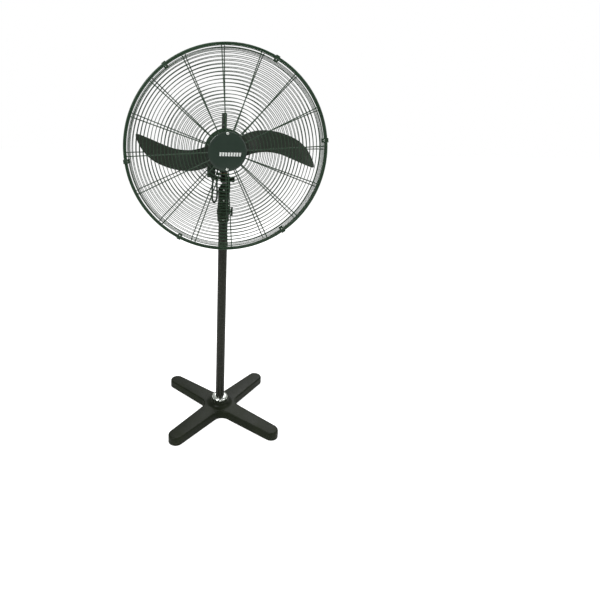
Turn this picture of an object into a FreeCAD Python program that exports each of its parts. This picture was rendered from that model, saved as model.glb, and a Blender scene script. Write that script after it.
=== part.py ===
"""Pedestal fan with a two-blade propeller, wire guards, oscillating head and cross base.

Frame: millimetres, +Z up, the fan faces -Y. The origin is on the floor, on the pole's axis.
Each sub-part is one node, written to parts/NODE.step.
"""
import FreeCAD, Part
import math
import os

V = FreeCAD.Vector
X, Y, Z = V(1, 0, 0), V(0, 1, 0), V(0, 0, 1)

# ---- driving dimensions ------------------------------------------------------
HUB_Z = 1160.0            # height of the motor shaft above the floor
GUARD_Y = -150.0          # plane where the two guards meet
GUARD_R = 369.5           # outer radius of the guard rim
RIM_WIRE = 5.0            # radius of the rim wire
RING_WIRE = 1.2           # radius of a ring wire
SPOKE_WIRE = 1.9          # radius of a spoke
RING_PITCH = 12.6         # from one face ring to the next
SPOKES = 16
SPOKE_BEND = 7.0          # bend of a spoke's middle line at the corner
WALL_RINGS = (11.0, 17.5, 24.0, 30.5)    # ring places down the side wall from the rim
FACE_START = 5.0          # from a guard's corner to its first face ring
CLIP_SCREW_R = GUARD_R - 13.0    # a clip's screw, inside both rims
CLIP_ANGLES = (-7.0, 53.0, 118.0, 173.0, 233.0, 298.0)   # in degrees from the right
TURN_FRONT = 4.0          # how far the front spokes are turned about the shaft, in degrees
TURN_REAR = 2.0           # and the rear ones

TILT_Z = 1042.0           # height of the tilt bolt
POLE_R = 19.0
POLE_WALL = 2.0
POLE_TOP = 930.0
POLE_FOOT = 20.0          # the pole's lower end, inside the base
MAST_R = 15.0
RUN_FIT = 0.05            # radial clearance of a running fit
SEAT = 0.03               # radial clearance of a fixed fit
BASE_FIT = 0.1            # radial clearance of the pole in the base
TOUCH = 0.05              # gap between two pieces that are bolted or welded together

BASE_TURN = 3.0           # the base's legs, turned from the diagonals, in degrees
LEG_REACH = 275.0         # pole axis to the centre of a leg's round end
LEG_END_R = 30.0
LEG_ROOT_R = 40.0
LEG_TOP = 35.4
PAD_H = 2.5
BOSS_TOP = 52.0
BOSS_R = 42.0
SET_SCREW_Z = 44.0
SET_SCREW_R = 4.0
CABLE_Z = 110.0           # height of the cable hole in the pole's back
CABLE_HOLE_R = 5.5
CORNER_R = 40.0           # hollow corner between two legs

COLLAR_Z = (868.0, 936.0)
COLLAR_R = 24.0
CLAMP_Z = 910.0
CLAMP_BAR_X = 34.0
CLAMP_BAR_LENGTH = 36.0
COLLAR_SCREW_Z = 880.0

NECK_Z = 938.0
NECK_R = 22.0
FORK_Z = 990.0
CROTCH_TOP = 1027.0       # floor under the tongue
NECK_SCREW_Z = (958.0, 999.0)
EAR_X = (13.6, 26.0)      # the neck's ear, on the right of the pole's axis
SHOULDER_X = -21.5        # the neck's left side under the ear
SHOULDER_Z = 1004.0
TONGUE_X = (-13.0, 13.3)  # the swivel block's tongue beside the ear
EAR_R = 13.5
BOLT_R = 4.0

FLANGE_Z = (1058.0, 1066.0)       # swivel block's flange under the head
LUG_Z = (1046.0, 1055.5)  # swivel block's lug for the lead

MOTOR_R = 75.0
MOTOR_FRONT = -84.0
MOTOR_REAR = -8.0
COVER_FRONT = -96.0
SHAFT_R = 6.0
STATOR_Y = (-71.0, -21.0)
STATOR_BORE = 41.0
BEARING_R = 16.0
BEARING_W = 9.0

BLADE_Y = -155.0          # plane about which the blades are pitched
BLADE_T = 2.2
BLADE_ROOT_PITCH = 28.0   # degrees
BLADE_TIP_PITCH = 17.0
ARM_GAP = 0.3             # between a blade's root and the hub arm behind it

GEAR_MODULE = 1.5
WORM_PITCH_R = 7.0
WHEEL_TEETH = 24
PINION_TEETH = 10
CRANK_TEETH = 32
WHEEL_Y = 27.0
WORM_PHASE = 255.0        # turn that sets the thread between the wheel's teeth, in degrees
CRANK_ARM = 13.0          # crank spindle to crank pin
CASE_Z = (1112.0, 1176.0)
KNOB_R = 10.5             # clutch knob
PIVOT_R = 6.0
LINK_Z = 1080.0
STUD_R_POS = 28.0         # swing axis to the link stud
STUD_ANGLE = 160.0

BADGE_R = 67.5
BADGE_FRONT = -232.5
BADGE_SCREW_R = 61.0      # the badge's screws, from the shaft

LEAD_R = 3.5             # motor lead
GLAND_SHANK_R = 4.7
BLOCK_GLAND = (-29.0, -24.0)
BOX_GLAND = (-46.0, -62.0)

WHEEL_X = WORM_PITCH_R + GEAR_MODULE * WHEEL_TEETH / 2
GEAR_DISTANCE = GEAR_MODULE * (PINION_TEETH + CRANK_TEETH) / 2
CRANK_Y = WHEEL_Y + math.sqrt(GEAR_DISTANCE ** 2 - WHEEL_X ** 2)
SHAFT_END = WHEEL_Y + 12.0

os.makedirs("parts", exist_ok=True)


# ---- small helpers -----------------------------------------------------------
def put(node, *solids):
    """Write one node as a STEP file; several solids stay separate solids."""
    shape = solids[0] if len(solids) == 1 else Part.makeCompound(list(solids))
    for solid in shape.Solids:
        if not solid.isValid():
            print("not valid:", node)
    shape.exportStep("parts/%s.step" % node)


def rod(radius, start, length, axis=Z):
    """A round bar from a point along an axis."""
    return Part.makeCylinder(radius, length, V(*start), axis)


def tube(outer, inner, start, length, axis=Z):
    """A round tube from a point along an axis."""
    return rod(outer, start, length, axis).cut(rod(inner, start, length, axis))


def block(x0, x1, y0, y1, z0, z1):
    """A box between two corners."""
    return Part.makeBox(x1 - x0, y1 - y0, z1 - z0, V(x0, y0, z0))


def turned(points, axis_point, axis, radial):
    """A solid of revolution; each point is (radius, distance along the axis)."""
    origin = V(*axis_point)
    outline = [origin + radial * r + axis * h for r, h in points]
    face = Part.Face(Part.makePolygon(outline + outline[:1]))
    return face.revolve(origin, axis, 360)


def about_shaft(shape, degrees):
    """The shape turned about the motor shaft."""
    copy = shape.copy()
    copy.rotate(V(0, 0, HUB_Z), Y, degrees)
    return copy


def about_pole(shape, degrees):
    """The shape turned about the pole."""
    copy = shape.copy()
    copy.rotate(V(0, 0, 0), Z, degrees)
    return copy


def pan_head(radius, height, start, axis):
    """A low domed screw head standing on a point."""
    head = Part.makeSphere(radius, V(0, 0, 0))
    squat = height / radius
    matrix = FreeCAD.Matrix()
    matrix.scale(V(1, 1, squat))
    dome = head.transformGeometry(matrix).common(block(-radius, radius, -radius, radius, 0, height))
    dome.Placement = FreeCAD.Placement(V(*start), FreeCAD.Rotation(Z, axis))
    return dome


def screw(radius, head_radius, head_height, start, reach, axis):
    """A pan-head screw: the head stands on start, the shank runs back along the axis."""
    shank = rod(radius, start, reach, axis * -1)
    return pan_head(head_radius, head_height, start, axis).fuse(shank).removeSplitter()


def hexagon(across, start, height, axis):
    """A hexagonal bar, given across its flats."""
    circle = across / math.sqrt(3)
    corners = [V(circle * math.cos(a), circle * math.sin(a), 0)
               for a in (math.radians(60 * k) for k in range(7))]
    bar = Part.Face(Part.makePolygon(corners)).extrude(Z * height)
    bar.Placement = FreeCAD.Placement(V(*start), FreeCAD.Rotation(Z, axis))
    return bar


def gear_blank(teeth, start, height, first_tooth=0.0, thin=0.78):
    """A spur gear of straight-sided teeth, upright; first_tooth is a tooth's angle in degrees."""
    pitch_r = GEAR_MODULE * teeth / 2
    tip_r = pitch_r + GEAR_MODULE * 0.9
    root_r = pitch_r - GEAR_MODULE * 1.2
    half = thin * math.pi / teeth / 2
    outline = []
    for k in range(teeth):
        mid = math.radians(first_tooth) + 2 * math.pi * k / teeth
        for radius, lean in ((root_r, -1.5), (tip_r, -0.6), (tip_r, 0.6), (root_r, 1.5)):
            angle = mid + lean * half
            outline.append(V(radius * math.cos(angle), radius * math.sin(angle), 0))
    face = Part.Face(Part.makePolygon(outline + outline[:1]))
    gear = face.extrude(Z * height)
    gear.translate(V(*start))
    return gear


# ---- base and pole -----------------------------------------------------------
def leg_plan(end_r, root_r, root_x, height, z):
    """One leg seen from above: two round ends joined by straight sides, raised to a height."""
    slope = math.asin((root_r - end_r) / (LEG_REACH - root_x))
    corners = []
    for centre, radius in ((root_x, root_r), (LEG_REACH, end_r)):
        corners.append(V(centre + radius * math.sin(slope), radius * math.cos(slope), z))
    lower = [V(p.x, -p.y, z) for p in corners]
    sides = Part.Face(Part.makePolygon([corners[0], corners[1], lower[1], lower[0], corners[0]]))
    leg = sides.extrude(Z * height)
    leg = leg.fuse(rod(root_r, (root_x, 0, z), height))
    return leg.fuse(rod(end_r, (LEG_REACH, 0, z), height)).removeSplitter()


def base_casting():
    """Four tapered legs with a raised boss, hollow underneath."""
    height = LEG_TOP - PAD_H
    leg = leg_plan(LEG_END_R, LEG_ROOT_R, 0, height, PAD_H)
    cross = leg
    for k in (1, 2, 3):
        cross = cross.fuse(about_pole(leg, 90 * k))
    cross = cross.removeSplitter()
    inner = [e for e in cross.Edges
             if abs(e.Length - height) < 0.01
             and math.hypot(e.CenterOfMass.x, e.CenterOfMass.y) < 1.5 * LEG_ROOT_R]
    cross = cross.makeFillet(CORNER_R, inner)
    rim = [e for e in cross.Edges if abs(e.BoundBox.ZMin - LEG_TOP) < 0.01
           and abs(e.BoundBox.ZMax - LEG_TOP) < 0.01]
    cross = cross.makeFillet(6.0, rim)
    boss = turned([(0, LEG_TOP - 8), (BOSS_R + 10, LEG_TOP - 8), (BOSS_R + 10, LEG_TOP),
                   (BOSS_R, LEG_TOP + 6), (BOSS_R - 4, BOSS_TOP), (0, BOSS_TOP)], (0, 0, 0), Z, X)
    cross = cross.fuse(boss)
    hollow = leg_plan(LEG_END_R - 7, LEG_ROOT_R - 11, 76, LEG_TOP - PAD_H - 7, PAD_H)
    for k in range(4):
        cross = cross.cut(about_pole(hollow, 90 * k))
        cross = cross.cut(about_pole(rod(6.0, (LEG_REACH, 0, LEG_TOP - 20), 13), 90 * k))
    cross = cross.cut(rod(POLE_R + BASE_FIT, (0, 0, POLE_FOOT), BOSS_TOP))
    cross = about_pole(cross.removeSplitter(), 45 + BASE_TURN)
    return cross.cut(rod(SET_SCREW_R + RUN_FIT, (0, POLE_R, SET_SCREW_Z), BOSS_R, Y))


def foot_pads():
    """Rubber feet that fill the open end of each leg's underside."""
    pads = []
    for k in range(4):
        pad = rod(LEG_END_R - 7.5, (LEG_REACH, 0, 0), PAD_H + 8)
        pad = pad.makeChamfer(1.0, [e for e in pad.Edges if e.BoundBox.ZMax < 0.01])
        pads.append(about_pole(pad, 45 + BASE_TURN + 90 * k))
    return pads


def base_lock_ring():
    """Scalloped nut that locks the pole in the base."""
    z0 = BOSS_TOP + TOUCH
    ring = turned([(POLE_R + SEAT, 0), (32, 0), (34.5, 2.5), (34.5, 12), (31, 16), (23, 18),
                   (POLE_R + SEAT, 18)], (0, 0, z0), Z, X)
    for k in range(12):
        angle = math.radians(30 * k + 15)
        ring = ring.cut(rod(4.2, (36.5 * math.cos(angle), 36.5 * math.sin(angle), z0 - 1), 20))
    return ring


def outer_pole():
    """Steel tube from the base to the height collar, with its clamp and cable holes."""
    pole = tube(POLE_R, POLE_R - POLE_WALL, (0, 0, POLE_FOOT), POLE_TOP - POLE_FOOT)
    pole = pole.cut(rod(BOLT_R + 0.4, (0, 0, CLAMP_Z), POLE_R + 1, X))
    return pole.cut(rod(CABLE_HOLE_R, (0, 0, CABLE_Z), POLE_R + 1, Y))


def mains_grommet():
    """Rubber bush in the cable hole at the pole's back."""
    neck = CABLE_HOLE_R - TOUCH
    return turned([(3.4, -3.5), (neck, -3.5), (neck, 0.6), (8.0, 0.6), (8.0, 2.4), (5.5, 6.0),
                   (3.4, 6.0)], (0, POLE_R, CABLE_Z), Y, X)


def pole_set_screw():
    """Set screw that holds the pole in the boss."""
    return rod(SET_SCREW_R, (0, POLE_R + TOUCH, SET_SCREW_Z), 20.5, Y)


def height_collar():
    """Cast collar on the pole's top, with the clamp boss on its right."""
    low, high = COLLAR_Z
    collar = turned([(0, low), (COLLAR_R - 3, low), (COLLAR_R, low + 4), (COLLAR_R, 896),
                     (COLLAR_R + 2.5, 899), (COLLAR_R + 2.5, 921), (COLLAR_R, 924),
                     (COLLAR_R, high - 3), (COLLAR_R - 3, high), (0, high)], (0, 0, 0), Z, X)
    collar = collar.fuse(rod(10.0, (0, 0, CLAMP_Z), 29.5, X))
    collar = collar.cut(rod(POLE_R + SEAT, (0, 0, low - 1), 933 - low))
    collar = collar.cut(rod(MAST_R + 0.5, (0, 0, low), 100))
    collar = collar.cut(rod(BOLT_R + RUN_FIT, (0, 0, CLAMP_Z), 60, X))
    return collar.cut(rod(2.55, (0, -40, COLLAR_SCREW_Z), 30, Y))


def collar_bush():
    """Plastic guide between the two tubes."""
    wall = POLE_R - POLE_WALL - SEAT
    bush = turned([(MAST_R + RUN_FIT, 878), (wall, 878), (wall, POLE_TOP + TOUCH),
                   (POLE_R, POLE_TOP + TOUCH), (POLE_R, 931.9), (MAST_R + RUN_FIT, 931.9)],
                  (0, 0, 0), Z, X)
    return bush.cut(rod(BOLT_R + 0.4, (0, 0, CLAMP_Z), POLE_R + 1, X))


def clamp_bar():
    """Threaded stem with a cross bar for the hand."""
    stem = rod(BOLT_R, (MAST_R + 0.4, 0, CLAMP_Z), CLAMP_BAR_X - MAST_R - 0.4, X)
    bar = rod(BOLT_R, (CLAMP_BAR_X + 1, 0, CLAMP_Z - CLAMP_BAR_LENGTH / 2), CLAMP_BAR_LENGTH)
    bar = bar.makeFillet(1.8, [e for e in bar.Edges if e.BoundBox.ZLength < 0.01])
    return stem.fuse(bar).removeSplitter()


# ---- mast and fork -----------------------------------------------------------
def neck_socket():
    """Socket on the mast's top, with one ear on its right for the tilting tongue."""
    neck = turned([(0, NECK_Z), (NECK_R + 1.5, NECK_Z), (NECK_R + 1.5, NECK_Z + 8),
                   (NECK_R, NECK_Z + 10), (NECK_R, FORK_Z - 8), (NECK_R + 1, FORK_Z),
                   (NECK_R + 1, FORK_Z + 4), (0, FORK_Z + 4)], (0, 0, 0), Z, X)
    inner, outer = EAR_X
    outline = [V(SHOULDER_X, -EAR_R, FORK_Z), V(outer, -EAR_R, FORK_Z), V(outer, -EAR_R, TILT_Z),
               V(inner, -EAR_R, TILT_Z), V(inner, -EAR_R, CROTCH_TOP), V(-6, -EAR_R, CROTCH_TOP),
               V(SHOULDER_X, -EAR_R, SHOULDER_Z)]
    bracket = Part.Face(Part.makePolygon(outline + outline[:1])).extrude(Y * 2 * EAR_R)
    bracket = bracket.makeFillet(4.0, [e for e in bracket.Edges
                                       if e.BoundBox.XMax < SHOULDER_X + 1 and e.BoundBox.ZLength > 9])
    bracket = bracket.fuse(rod(EAR_R, (inner, 0, TILT_Z), outer - inner, X))
    neck = neck.fuse(bracket)
    neck = neck.cut(rod(MAST_R + SEAT, (0, 0, NECK_Z - 1), 42))
    neck = neck.cut(rod(BOLT_R + RUN_FIT, (0, 0, TILT_Z), 40, X))
    for z in NECK_SCREW_Z:
        neck = neck.cut(rod(2.05, (0, -40, z), 35, Y))
    return neck.removeSplitter()


def neck_screws():
    """Small bright screws on the neck's front."""
    low_z, high_z = NECK_SCREW_Z
    low = screw(2.0, 4.0, 2.2, (0, -NECK_R - 0.1, low_z), 6.0, Y * -1)
    high = screw(2.0, 4.0, 2.2, (0, -EAR_R - 0.1, high_z), 8.0, Y * -1)
    return [low, high]


def tilt_bolt():
    """Bolt through the tongue and the ear, its head on the left."""
    seat = TONGUE_X[0] - 0.1
    shank = rod(BOLT_R, (seat - 1, 0, TILT_Z), EAR_X[1] + 14 - seat, X)
    head = hexagon(13.0, (seat - 5.5, 0, TILT_Z), 5.5, X)
    return head.fuse(shank).removeSplitter()


def tilt_knob():
    """Lobed hand knob on the tilt bolt's right end."""
    x0 = EAR_X[1] + 0.4
    knob = turned([(BOLT_R + RUN_FIT, 0), (7, 0), (7, 3), (12, 5), (12, 14), (9.5, 17), (0, 17),
                   (0, 14), (BOLT_R + RUN_FIT, 14)], (x0, 0, TILT_Z), X, Z)
    for k in range(6):
        angle = math.radians(60 * k)
        knob = knob.cut(rod(3.4, (x0 + 3, 13.6 * math.sin(angle), TILT_Z + 13.6 * math.cos(angle)),
                            20, X))
    return knob


# ---- swivel block ------------------------------------------------------------
def stud_place():
    """The link stud's place beside the swing axis."""
    angle = math.radians(STUD_ANGLE)
    return STUD_R_POS * math.cos(angle), STUD_R_POS * math.sin(angle)


def swivel_block():
    """Block that tilts beside the neck's ear and carries the upright swing pivot."""
    barrel = rod(EAR_R, (TONGUE_X[0], 0, TILT_Z), TONGUE_X[1] - TONGUE_X[0], X)
    boss = rod(13.0, (0, 0, TILT_Z), 18)
    low, high = FLANGE_Z
    flange = rod(22.0, (0, 0, low), high - low)
    sx, sy = stud_place()
    arm = block(sx, 0, 0, 12, low, high).fuse(rod(6.0, (sx, sy, low), high - low))
    lug = block(-37.5, -12, -33, -15.6, *LUG_Z).fuse(block(-12.9, -4, -30, -4, *LUG_Z))
    lug = lug.makeFillet(3.0, [e for e in lug.Edges if e.BoundBox.ZLength > 9 and e.BoundBox.XMax < -37])
    body = barrel.fuse(boss).fuse(flange).fuse(arm).fuse(lug)
    body = body.cut(rod(BOLT_R + RUN_FIT, (-30, 0, TILT_Z), 60, X))
    body = body.cut(rod(9.05, (0, 0, 1047.2), 30))
    body = body.cut(rod(2.53, (sx, sy, 1050), 20))
    body = body.cut(rod(GLAND_SHANK_R + TOUCH, (BLOCK_GLAND[0], BLOCK_GLAND[1], LUG_Z[0] - 1), 7))
    return body.removeSplitter()


def pivot_bush():
    """Flanged bronze bush for the swing pivot."""
    return turned([(PIVOT_R + RUN_FIT, 1051), (9.02, 1051), (9.02, 1066.05), (14, 1066.05),
                   (14, 1068), (PIVOT_R + RUN_FIT, 1068)], (0, 0, 0), Z, X)


def pivot_pin():
    """Upright pin of the head, grooved for its clip."""
    return turned([(0, 1047.8), (PIVOT_R, 1047.8), (PIVOT_R, 1048.8), (5.1, 1048.8),
                   (5.1, 1050.3), (PIVOT_R, 1050.3), (PIVOT_R, 1083), (0, 1083)], (0, 0, 0), Z, X)


def pivot_clip():
    """Open ring in the pin's groove."""
    ring = tube(8.6, 5.13, (0, 0, 1048.95), 1.2)
    return ring.cut(block(0, 10, -2, 2, 1048, 1052))


def link_stud():
    """Shoulder screw on the swivel block."""
    sx, sy = stud_place()
    shoulder = rod(4.0, (sx, sy, 1066.05), 4)
    return shoulder.fuse(rod(3.0, (sx, sy, 1070), LINK_Z - 1.5 - 1070)).fuse(
        rod(2.5, (sx, sy, 1059), 8)).removeSplitter()


def gland(x, y, face_z, shank):
    """Ribbed cable gland that hangs from a face, its mouth pointing down."""
    bore = LEAD_R + SEAT
    return turned([(bore, -11), (5.2, -11), (5.8, -6), (7.5, -5), (7.5, 0), (GLAND_SHANK_R, 0),
                   (GLAND_SHANK_R, shank), (bore, shank)], (x, y, face_z - TOUCH), Z, X)


# ---- motor lead --------------------------------------------------------------
# distance from the box's gland towards the block's gland, height
LEAD_ACROSS = [(0.0, 1046.5), (-0.3, 1026.5), (-2.6, 1007.0), (-4.2, 988.5), (-3.0, 969.2),
               (11.2, 955.0), (31.3, 955.0), (45.5, 969.2), (46.8, 988.5), (45.2, 1006.5),
               (42.5, 1021.5), (41.6, 1036.0)]


def lead_route():
    """The lead's points: it hangs in a U from the switch box's gland to the block's gland."""
    start = V(BOX_GLAND[0], BOX_GLAND[1], 0)
    across = V(BLOCK_GLAND[0], BLOCK_GLAND[1], 0) - start
    unit = across * (1 / across.Length)
    route = [start + unit * s + Z * z for s, z in LEAD_ACROSS]
    route[-1] = V(BLOCK_GLAND[0], BLOCK_GLAND[1], LEAD_ACROSS[-1][1])
    return route


def cord_path(route):
    """Straight runs joined by tangent arcs; returns the wire and the arcs' radii."""
    edges = []
    radii = []
    here = route[0]
    for before, corner, after in zip(route, route[1:], route[2:]):
        back = before - corner
        ahead = after - corner
        shorter = min(back.Length, ahead.Length)
        turn = math.pi - back.getAngle(ahead)
        setback = 0.45 * shorter
        radius = setback / math.tan(turn / 2)
        enter = corner + back * (setback / back.Length)
        leave = corner + ahead * (setback / ahead.Length)
        toward = (back * (1 / back.Length) + ahead * (1 / ahead.Length))
        toward = toward * (1 / toward.Length)
        centre = corner + toward * (radius / math.cos(turn / 2))
        middle = centre - toward * radius
        edges.append(Part.LineSegment(here, enter).toShape())
        edges.append(Part.Arc(enter, middle, leave).toShape())
        radii.append(radius)
        here = leave
    edges.append(Part.LineSegment(here, route[-1]).toShape())
    return Part.Wire(edges), radii


def motor_lead():
    """The lead as a plain round tube along its route."""
    path, radii = cord_path(lead_route())
    start = path.Edges[0]
    section = Part.Wire(Part.makeCircle(LEAD_R, start.Vertexes[0].Point, start.tangentAt(0)))
    lead = path.makePipeShell([section], True, False)
    area = math.pi * LEAD_R ** 2
    print("lead length %.1f, volume over section %.1f" % (path.Length, lead.Volume / area))
    print("lead radii", [round(r, 1) for r in radii])
    return lead


# ---- gearbox -----------------------------------------------------------------
def case_plan(grow, z0, z1):
    """The gearbox's outline from above, raised between two heights."""
    height = z1 - z0
    plan = rod(27.0 + grow, (0, CRANK_Y, z0), height)
    plan = plan.fuse(rod(21.5 + grow, (WHEEL_X, WHEEL_Y, z0), height))
    return plan.fuse(block(-9 - grow, 20, 5 - grow, CRANK_Y, z0, z1)).removeSplitter()


def gearbox_housing():
    """Open-topped gear case with the foot that holds the swing pin."""
    low, high = CASE_Z
    case = case_plan(3.0, low, high)
    foot = rod(18.0, (0, 0, 1070), 13.5).fuse(block(-14, 14, 2, 19, 1070, low + 2))
    case = case.fuse(foot)
    case = case.cut(case_plan(0.0, low + 4, high + 1))
    case = case.cut(rod(PIVOT_R + SEAT, (0, 0, 1069), 16))
    case = case.cut(rod(9.0, (0, -1, HUB_Z), 12, Y))
    case = case.cut(rod(4.05, (WHEEL_X, WHEEL_Y, low - 1), 8))
    return case.cut(rod(5.05, (0, CRANK_Y, low - 1), 8)).removeSplitter()


def gearbox_cover():
    """Lid of the gear case, with the turret that guides the clutch knob."""
    high = CASE_Z[1]
    lid = case_plan(3.0, high + TOUCH, high + 5)
    lid = lid.fuse(rod(8.0, (WHEEL_X, WHEEL_Y, high - 8), 8.2))
    wall = KNOB_R + 4.0
    turret = turned([(0, high + 4), (wall + 3.5, high + 4), (wall, high + 12), (wall, 1212),
                     (wall - 1.5, 1214), (0, 1214)], (0, CRANK_Y, 0), Z, X)
    lid = lid.fuse(turret)
    lid = lid.cut(rod(4.05, (WHEEL_X, WHEEL_Y, high - 9), 8))
    lid = lid.cut(rod(KNOB_R + RUN_FIT, (0, CRANK_Y, high + 18), 60))
    return lid.cut(rod(3.05, (0, CRANK_Y, high - 1), 60)).removeSplitter()


def worm():
    """Single-start worm on the shaft's rear end."""
    pitch = math.pi * GEAR_MODULE
    y0, y1 = WHEEL_Y - 10, WHEEL_Y + 10
    core_r = WORM_PITCH_R - GEAR_MODULE * 1.15
    tip_r = WORM_PITCH_R + GEAR_MODULE * 0.85
    turns = Part.makeHelix(pitch, 3.6 * pitch, WORM_PITCH_R)
    half_root, half_tip = 1.15, 0.5
    section = Part.makePolygon([V(core_r - 0.4, 0, -half_root), V(tip_r, 0, -half_tip),
                                V(tip_r, 0, half_tip), V(core_r - 0.4, 0, half_root),
                                V(core_r - 0.4, 0, -half_root)])
    thread = Part.Wire(turns).makePipeShell([section], True, True)
    thread = Part.makeSolid(thread) if not thread.Solids else thread
    thread.translate(V(0, 0, -1.8 * pitch))
    thread.rotate(V(0, 0, 0), X, -90)
    thread.rotate(V(0, 0, 0), Y, WORM_PHASE)
    thread.translate(V(0, WHEEL_Y, HUB_Z))
    core = rod(core_r, (0, y0, HUB_Z), y1 - y0, Y)
    body = core.fuse(thread)
    body = body.common(rod(tip_r + 1, (0, y0, HUB_Z), y1 - y0, Y))
    return body.cut(rod(SHAFT_R - 2 + SEAT, (0, y0 - 1, HUB_Z), y1 - y0 + 2, Y))


def worm_wheel():
    """Worm wheel, spindle and pinion, turning together."""
    low, high = CASE_Z
    wheel = gear_blank(WHEEL_TEETH, (WHEEL_X, WHEEL_Y, HUB_Z - 2.5), 5, 180.0, 0.62)
    spindle = rod(4.0, (WHEEL_X, WHEEL_Y, low + 0.5), high - low - 2.5)
    aim = math.degrees(math.atan2(CRANK_Y - WHEEL_Y, -WHEEL_X))
    pinion = gear_blank(PINION_TEETH, (WHEEL_X, WHEEL_Y, low + 5), 11, aim, 0.7)
    hub = rod(7.0, (WHEEL_X, WHEEL_Y, HUB_Z - 6), 10)
    return wheel.fuse(spindle).fuse(pinion).fuse(hub).removeSplitter()


def crank_gear():
    """Driven gear with its spindle, crank arm and crank pin."""
    low = CASE_Z[0]
    aim = math.degrees(math.atan2(WHEEL_Y - CRANK_Y, WHEEL_X))
    gear = gear_blank(CRANK_TEETH, (0, CRANK_Y, low + 6), 8, aim + 180.0 / CRANK_TEETH, 0.7)
    spindle = rod(5.0, (0, CRANK_Y, low - 8), 24)
    arm = rod(8.0, (0, CRANK_Y, low - 12), 6).fuse(rod(5.5, (-CRANK_ARM, CRANK_Y, low - 12), 6))
    arm = arm.fuse(block(-CRANK_ARM, 0, CRANK_Y - 5, CRANK_Y + 5, low - 12, low - 6))
    pin = rod(3.0, (-CRANK_ARM, CRANK_Y, LINK_Z - 1), low - 12 - LINK_Z + 2)
    return gear.fuse(spindle).fuse(arm).fuse(pin).removeSplitter()


def drive_link():
    """Flat link from the crank pin towards the stud."""
    sx, sy = stud_place()
    start = V(-CRANK_ARM, CRANK_Y, LINK_Z)
    end = V(sx, sy, LINK_Z)
    along = end - start
    bar = block(0, along.Length, -3.5, 3.5, 0, 5)
    bar.Placement = FreeCAD.Placement(start, FreeCAD.Rotation(X, along))
    link = bar.fuse(rod(6.5, start, 5)).fuse(rod(6.0, end, 5))
    link = link.cut(rod(3.0 + RUN_FIT, start - Z, 8))
    return link.cut(rod(3.3, end - Z, 8)).removeSplitter()


def clutch_knob():
    """Tall knob and rod that lift the oscillation clutch."""
    waist = KNOB_R - 1.0
    cap = KNOB_R + 0.4
    knob = turned([(0, 1196), (KNOB_R, 1196), (KNOB_R, 1288), (waist, 1289.5), (waist, 1291),
                   (cap, 1293), (cap, 1299), (cap - 3.0, 1303), (0, 1303)], (0, CRANK_Y, 0), Z, X)
    return knob.fuse(rod(3.0, (0, CRANK_Y, CASE_Z[0] + 17), 1200 - CASE_Z[0] - 17)).removeSplitter()


# ---- motor -------------------------------------------------------------------
def motor_shell():
    """Round shell with cooling ribs."""
    length = MOTOR_REAR - MOTOR_FRONT
    shell = tube(MOTOR_R - 2.5, MOTOR_R - 5, (0, MOTOR_FRONT, HUB_Z), length, Y)
    rings = [shell]
    for k in range(9):
        rings.append(tube(MOTOR_R, MOTOR_R - 3, (0, MOTOR_FRONT + k * (length - 3) / 8, HUB_Z), 3, Y))
    return rings[0].multiFuse(rings[1:]).removeSplitter()


def motor_front_cover():
    """Front bell with the bearing seat and the guard's screw holes."""
    y0 = COVER_FRONT
    back = MOTOR_FRONT - TOUCH - y0
    bell = turned([(0, 0), (60, 0), (72, 4), (MOTOR_R, 8), (MOTOR_R, back), (0, back)],
                  (0, y0, HUB_Z), Y, X)
    bell = bell.cut(rod(BEARING_R + SEAT, (0, MOTOR_FRONT - BEARING_W, HUB_Z), 20, Y))
    bell = bell.cut(rod(SHAFT_R + 1, (0, y0 - 1, HUB_Z), 20, Y))
    for k in range(4):
        hole = rod(2.55, (45, y0 - 1, HUB_Z), 9, Y)
        bell = bell.cut(about_shaft(hole, 45 + 90 * k))
    return bell


def motor_rear_cover():
    """Rear bell with the bearing seat."""
    start = MOTOR_REAR + TOUCH
    bell = turned([(0, 0), (MOTOR_R, 0), (MOTOR_R, 4), (70, -start), (0, -start)],
                  (0, start, HUB_Z), Y, X)
    bell = bell.cut(rod(BEARING_R + SEAT, (0, start - 1, HUB_Z), 8, Y))
    return bell.cut(rod(SHAFT_R + 1, (0, start - 1, HUB_Z), 20, Y))


def stator_core():
    """Laminated stack between the windings."""
    y0, y1 = STATOR_Y
    return tube(MOTOR_R - 5 - SEAT, STATOR_BORE, (0, y0, HUB_Z), y1 - y0, Y)


def stator_windings():
    """Copper end turns on both faces of the stack."""
    coils = []
    for y0, y1 in ((STATOR_Y[0] - 11, STATOR_Y[0] - TOUCH), (STATOR_Y[1] + TOUCH, STATOR_Y[1] + 11)):
        coil = tube(64, 45, (0, y0, HUB_Z), y1 - y0, Y)
        coils.append(coil.makeFillet(3.0, coil.Edges))
    return coils


def shaft_bearings():
    """Two ball bearings, as plain rings."""
    return [tube(BEARING_R, SHAFT_R + SEAT, (0, y0, HUB_Z), BEARING_W - 0.2, Y)
            for y0 in (MOTOR_FRONT - BEARING_W + 0.1, MOTOR_REAR - 2.2)]


def motor_shaft():
    """Steel shaft from the blade nut to the worm."""
    main = rod(SHAFT_R, (0, -190, HUB_Z), 190 + 5, Y)
    neck = rod(SHAFT_R - 2, (0, 5, HUB_Z), SHAFT_END - 5, Y)
    return main.fuse(neck).removeSplitter()


def rotor_core():
    """Squirrel-cage rotor."""
    y0, y1 = STATOR_Y
    return tube(STATOR_BORE - 0.6, SHAFT_R + SEAT, (0, y0, HUB_Z), y1 - y0, Y)


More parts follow.
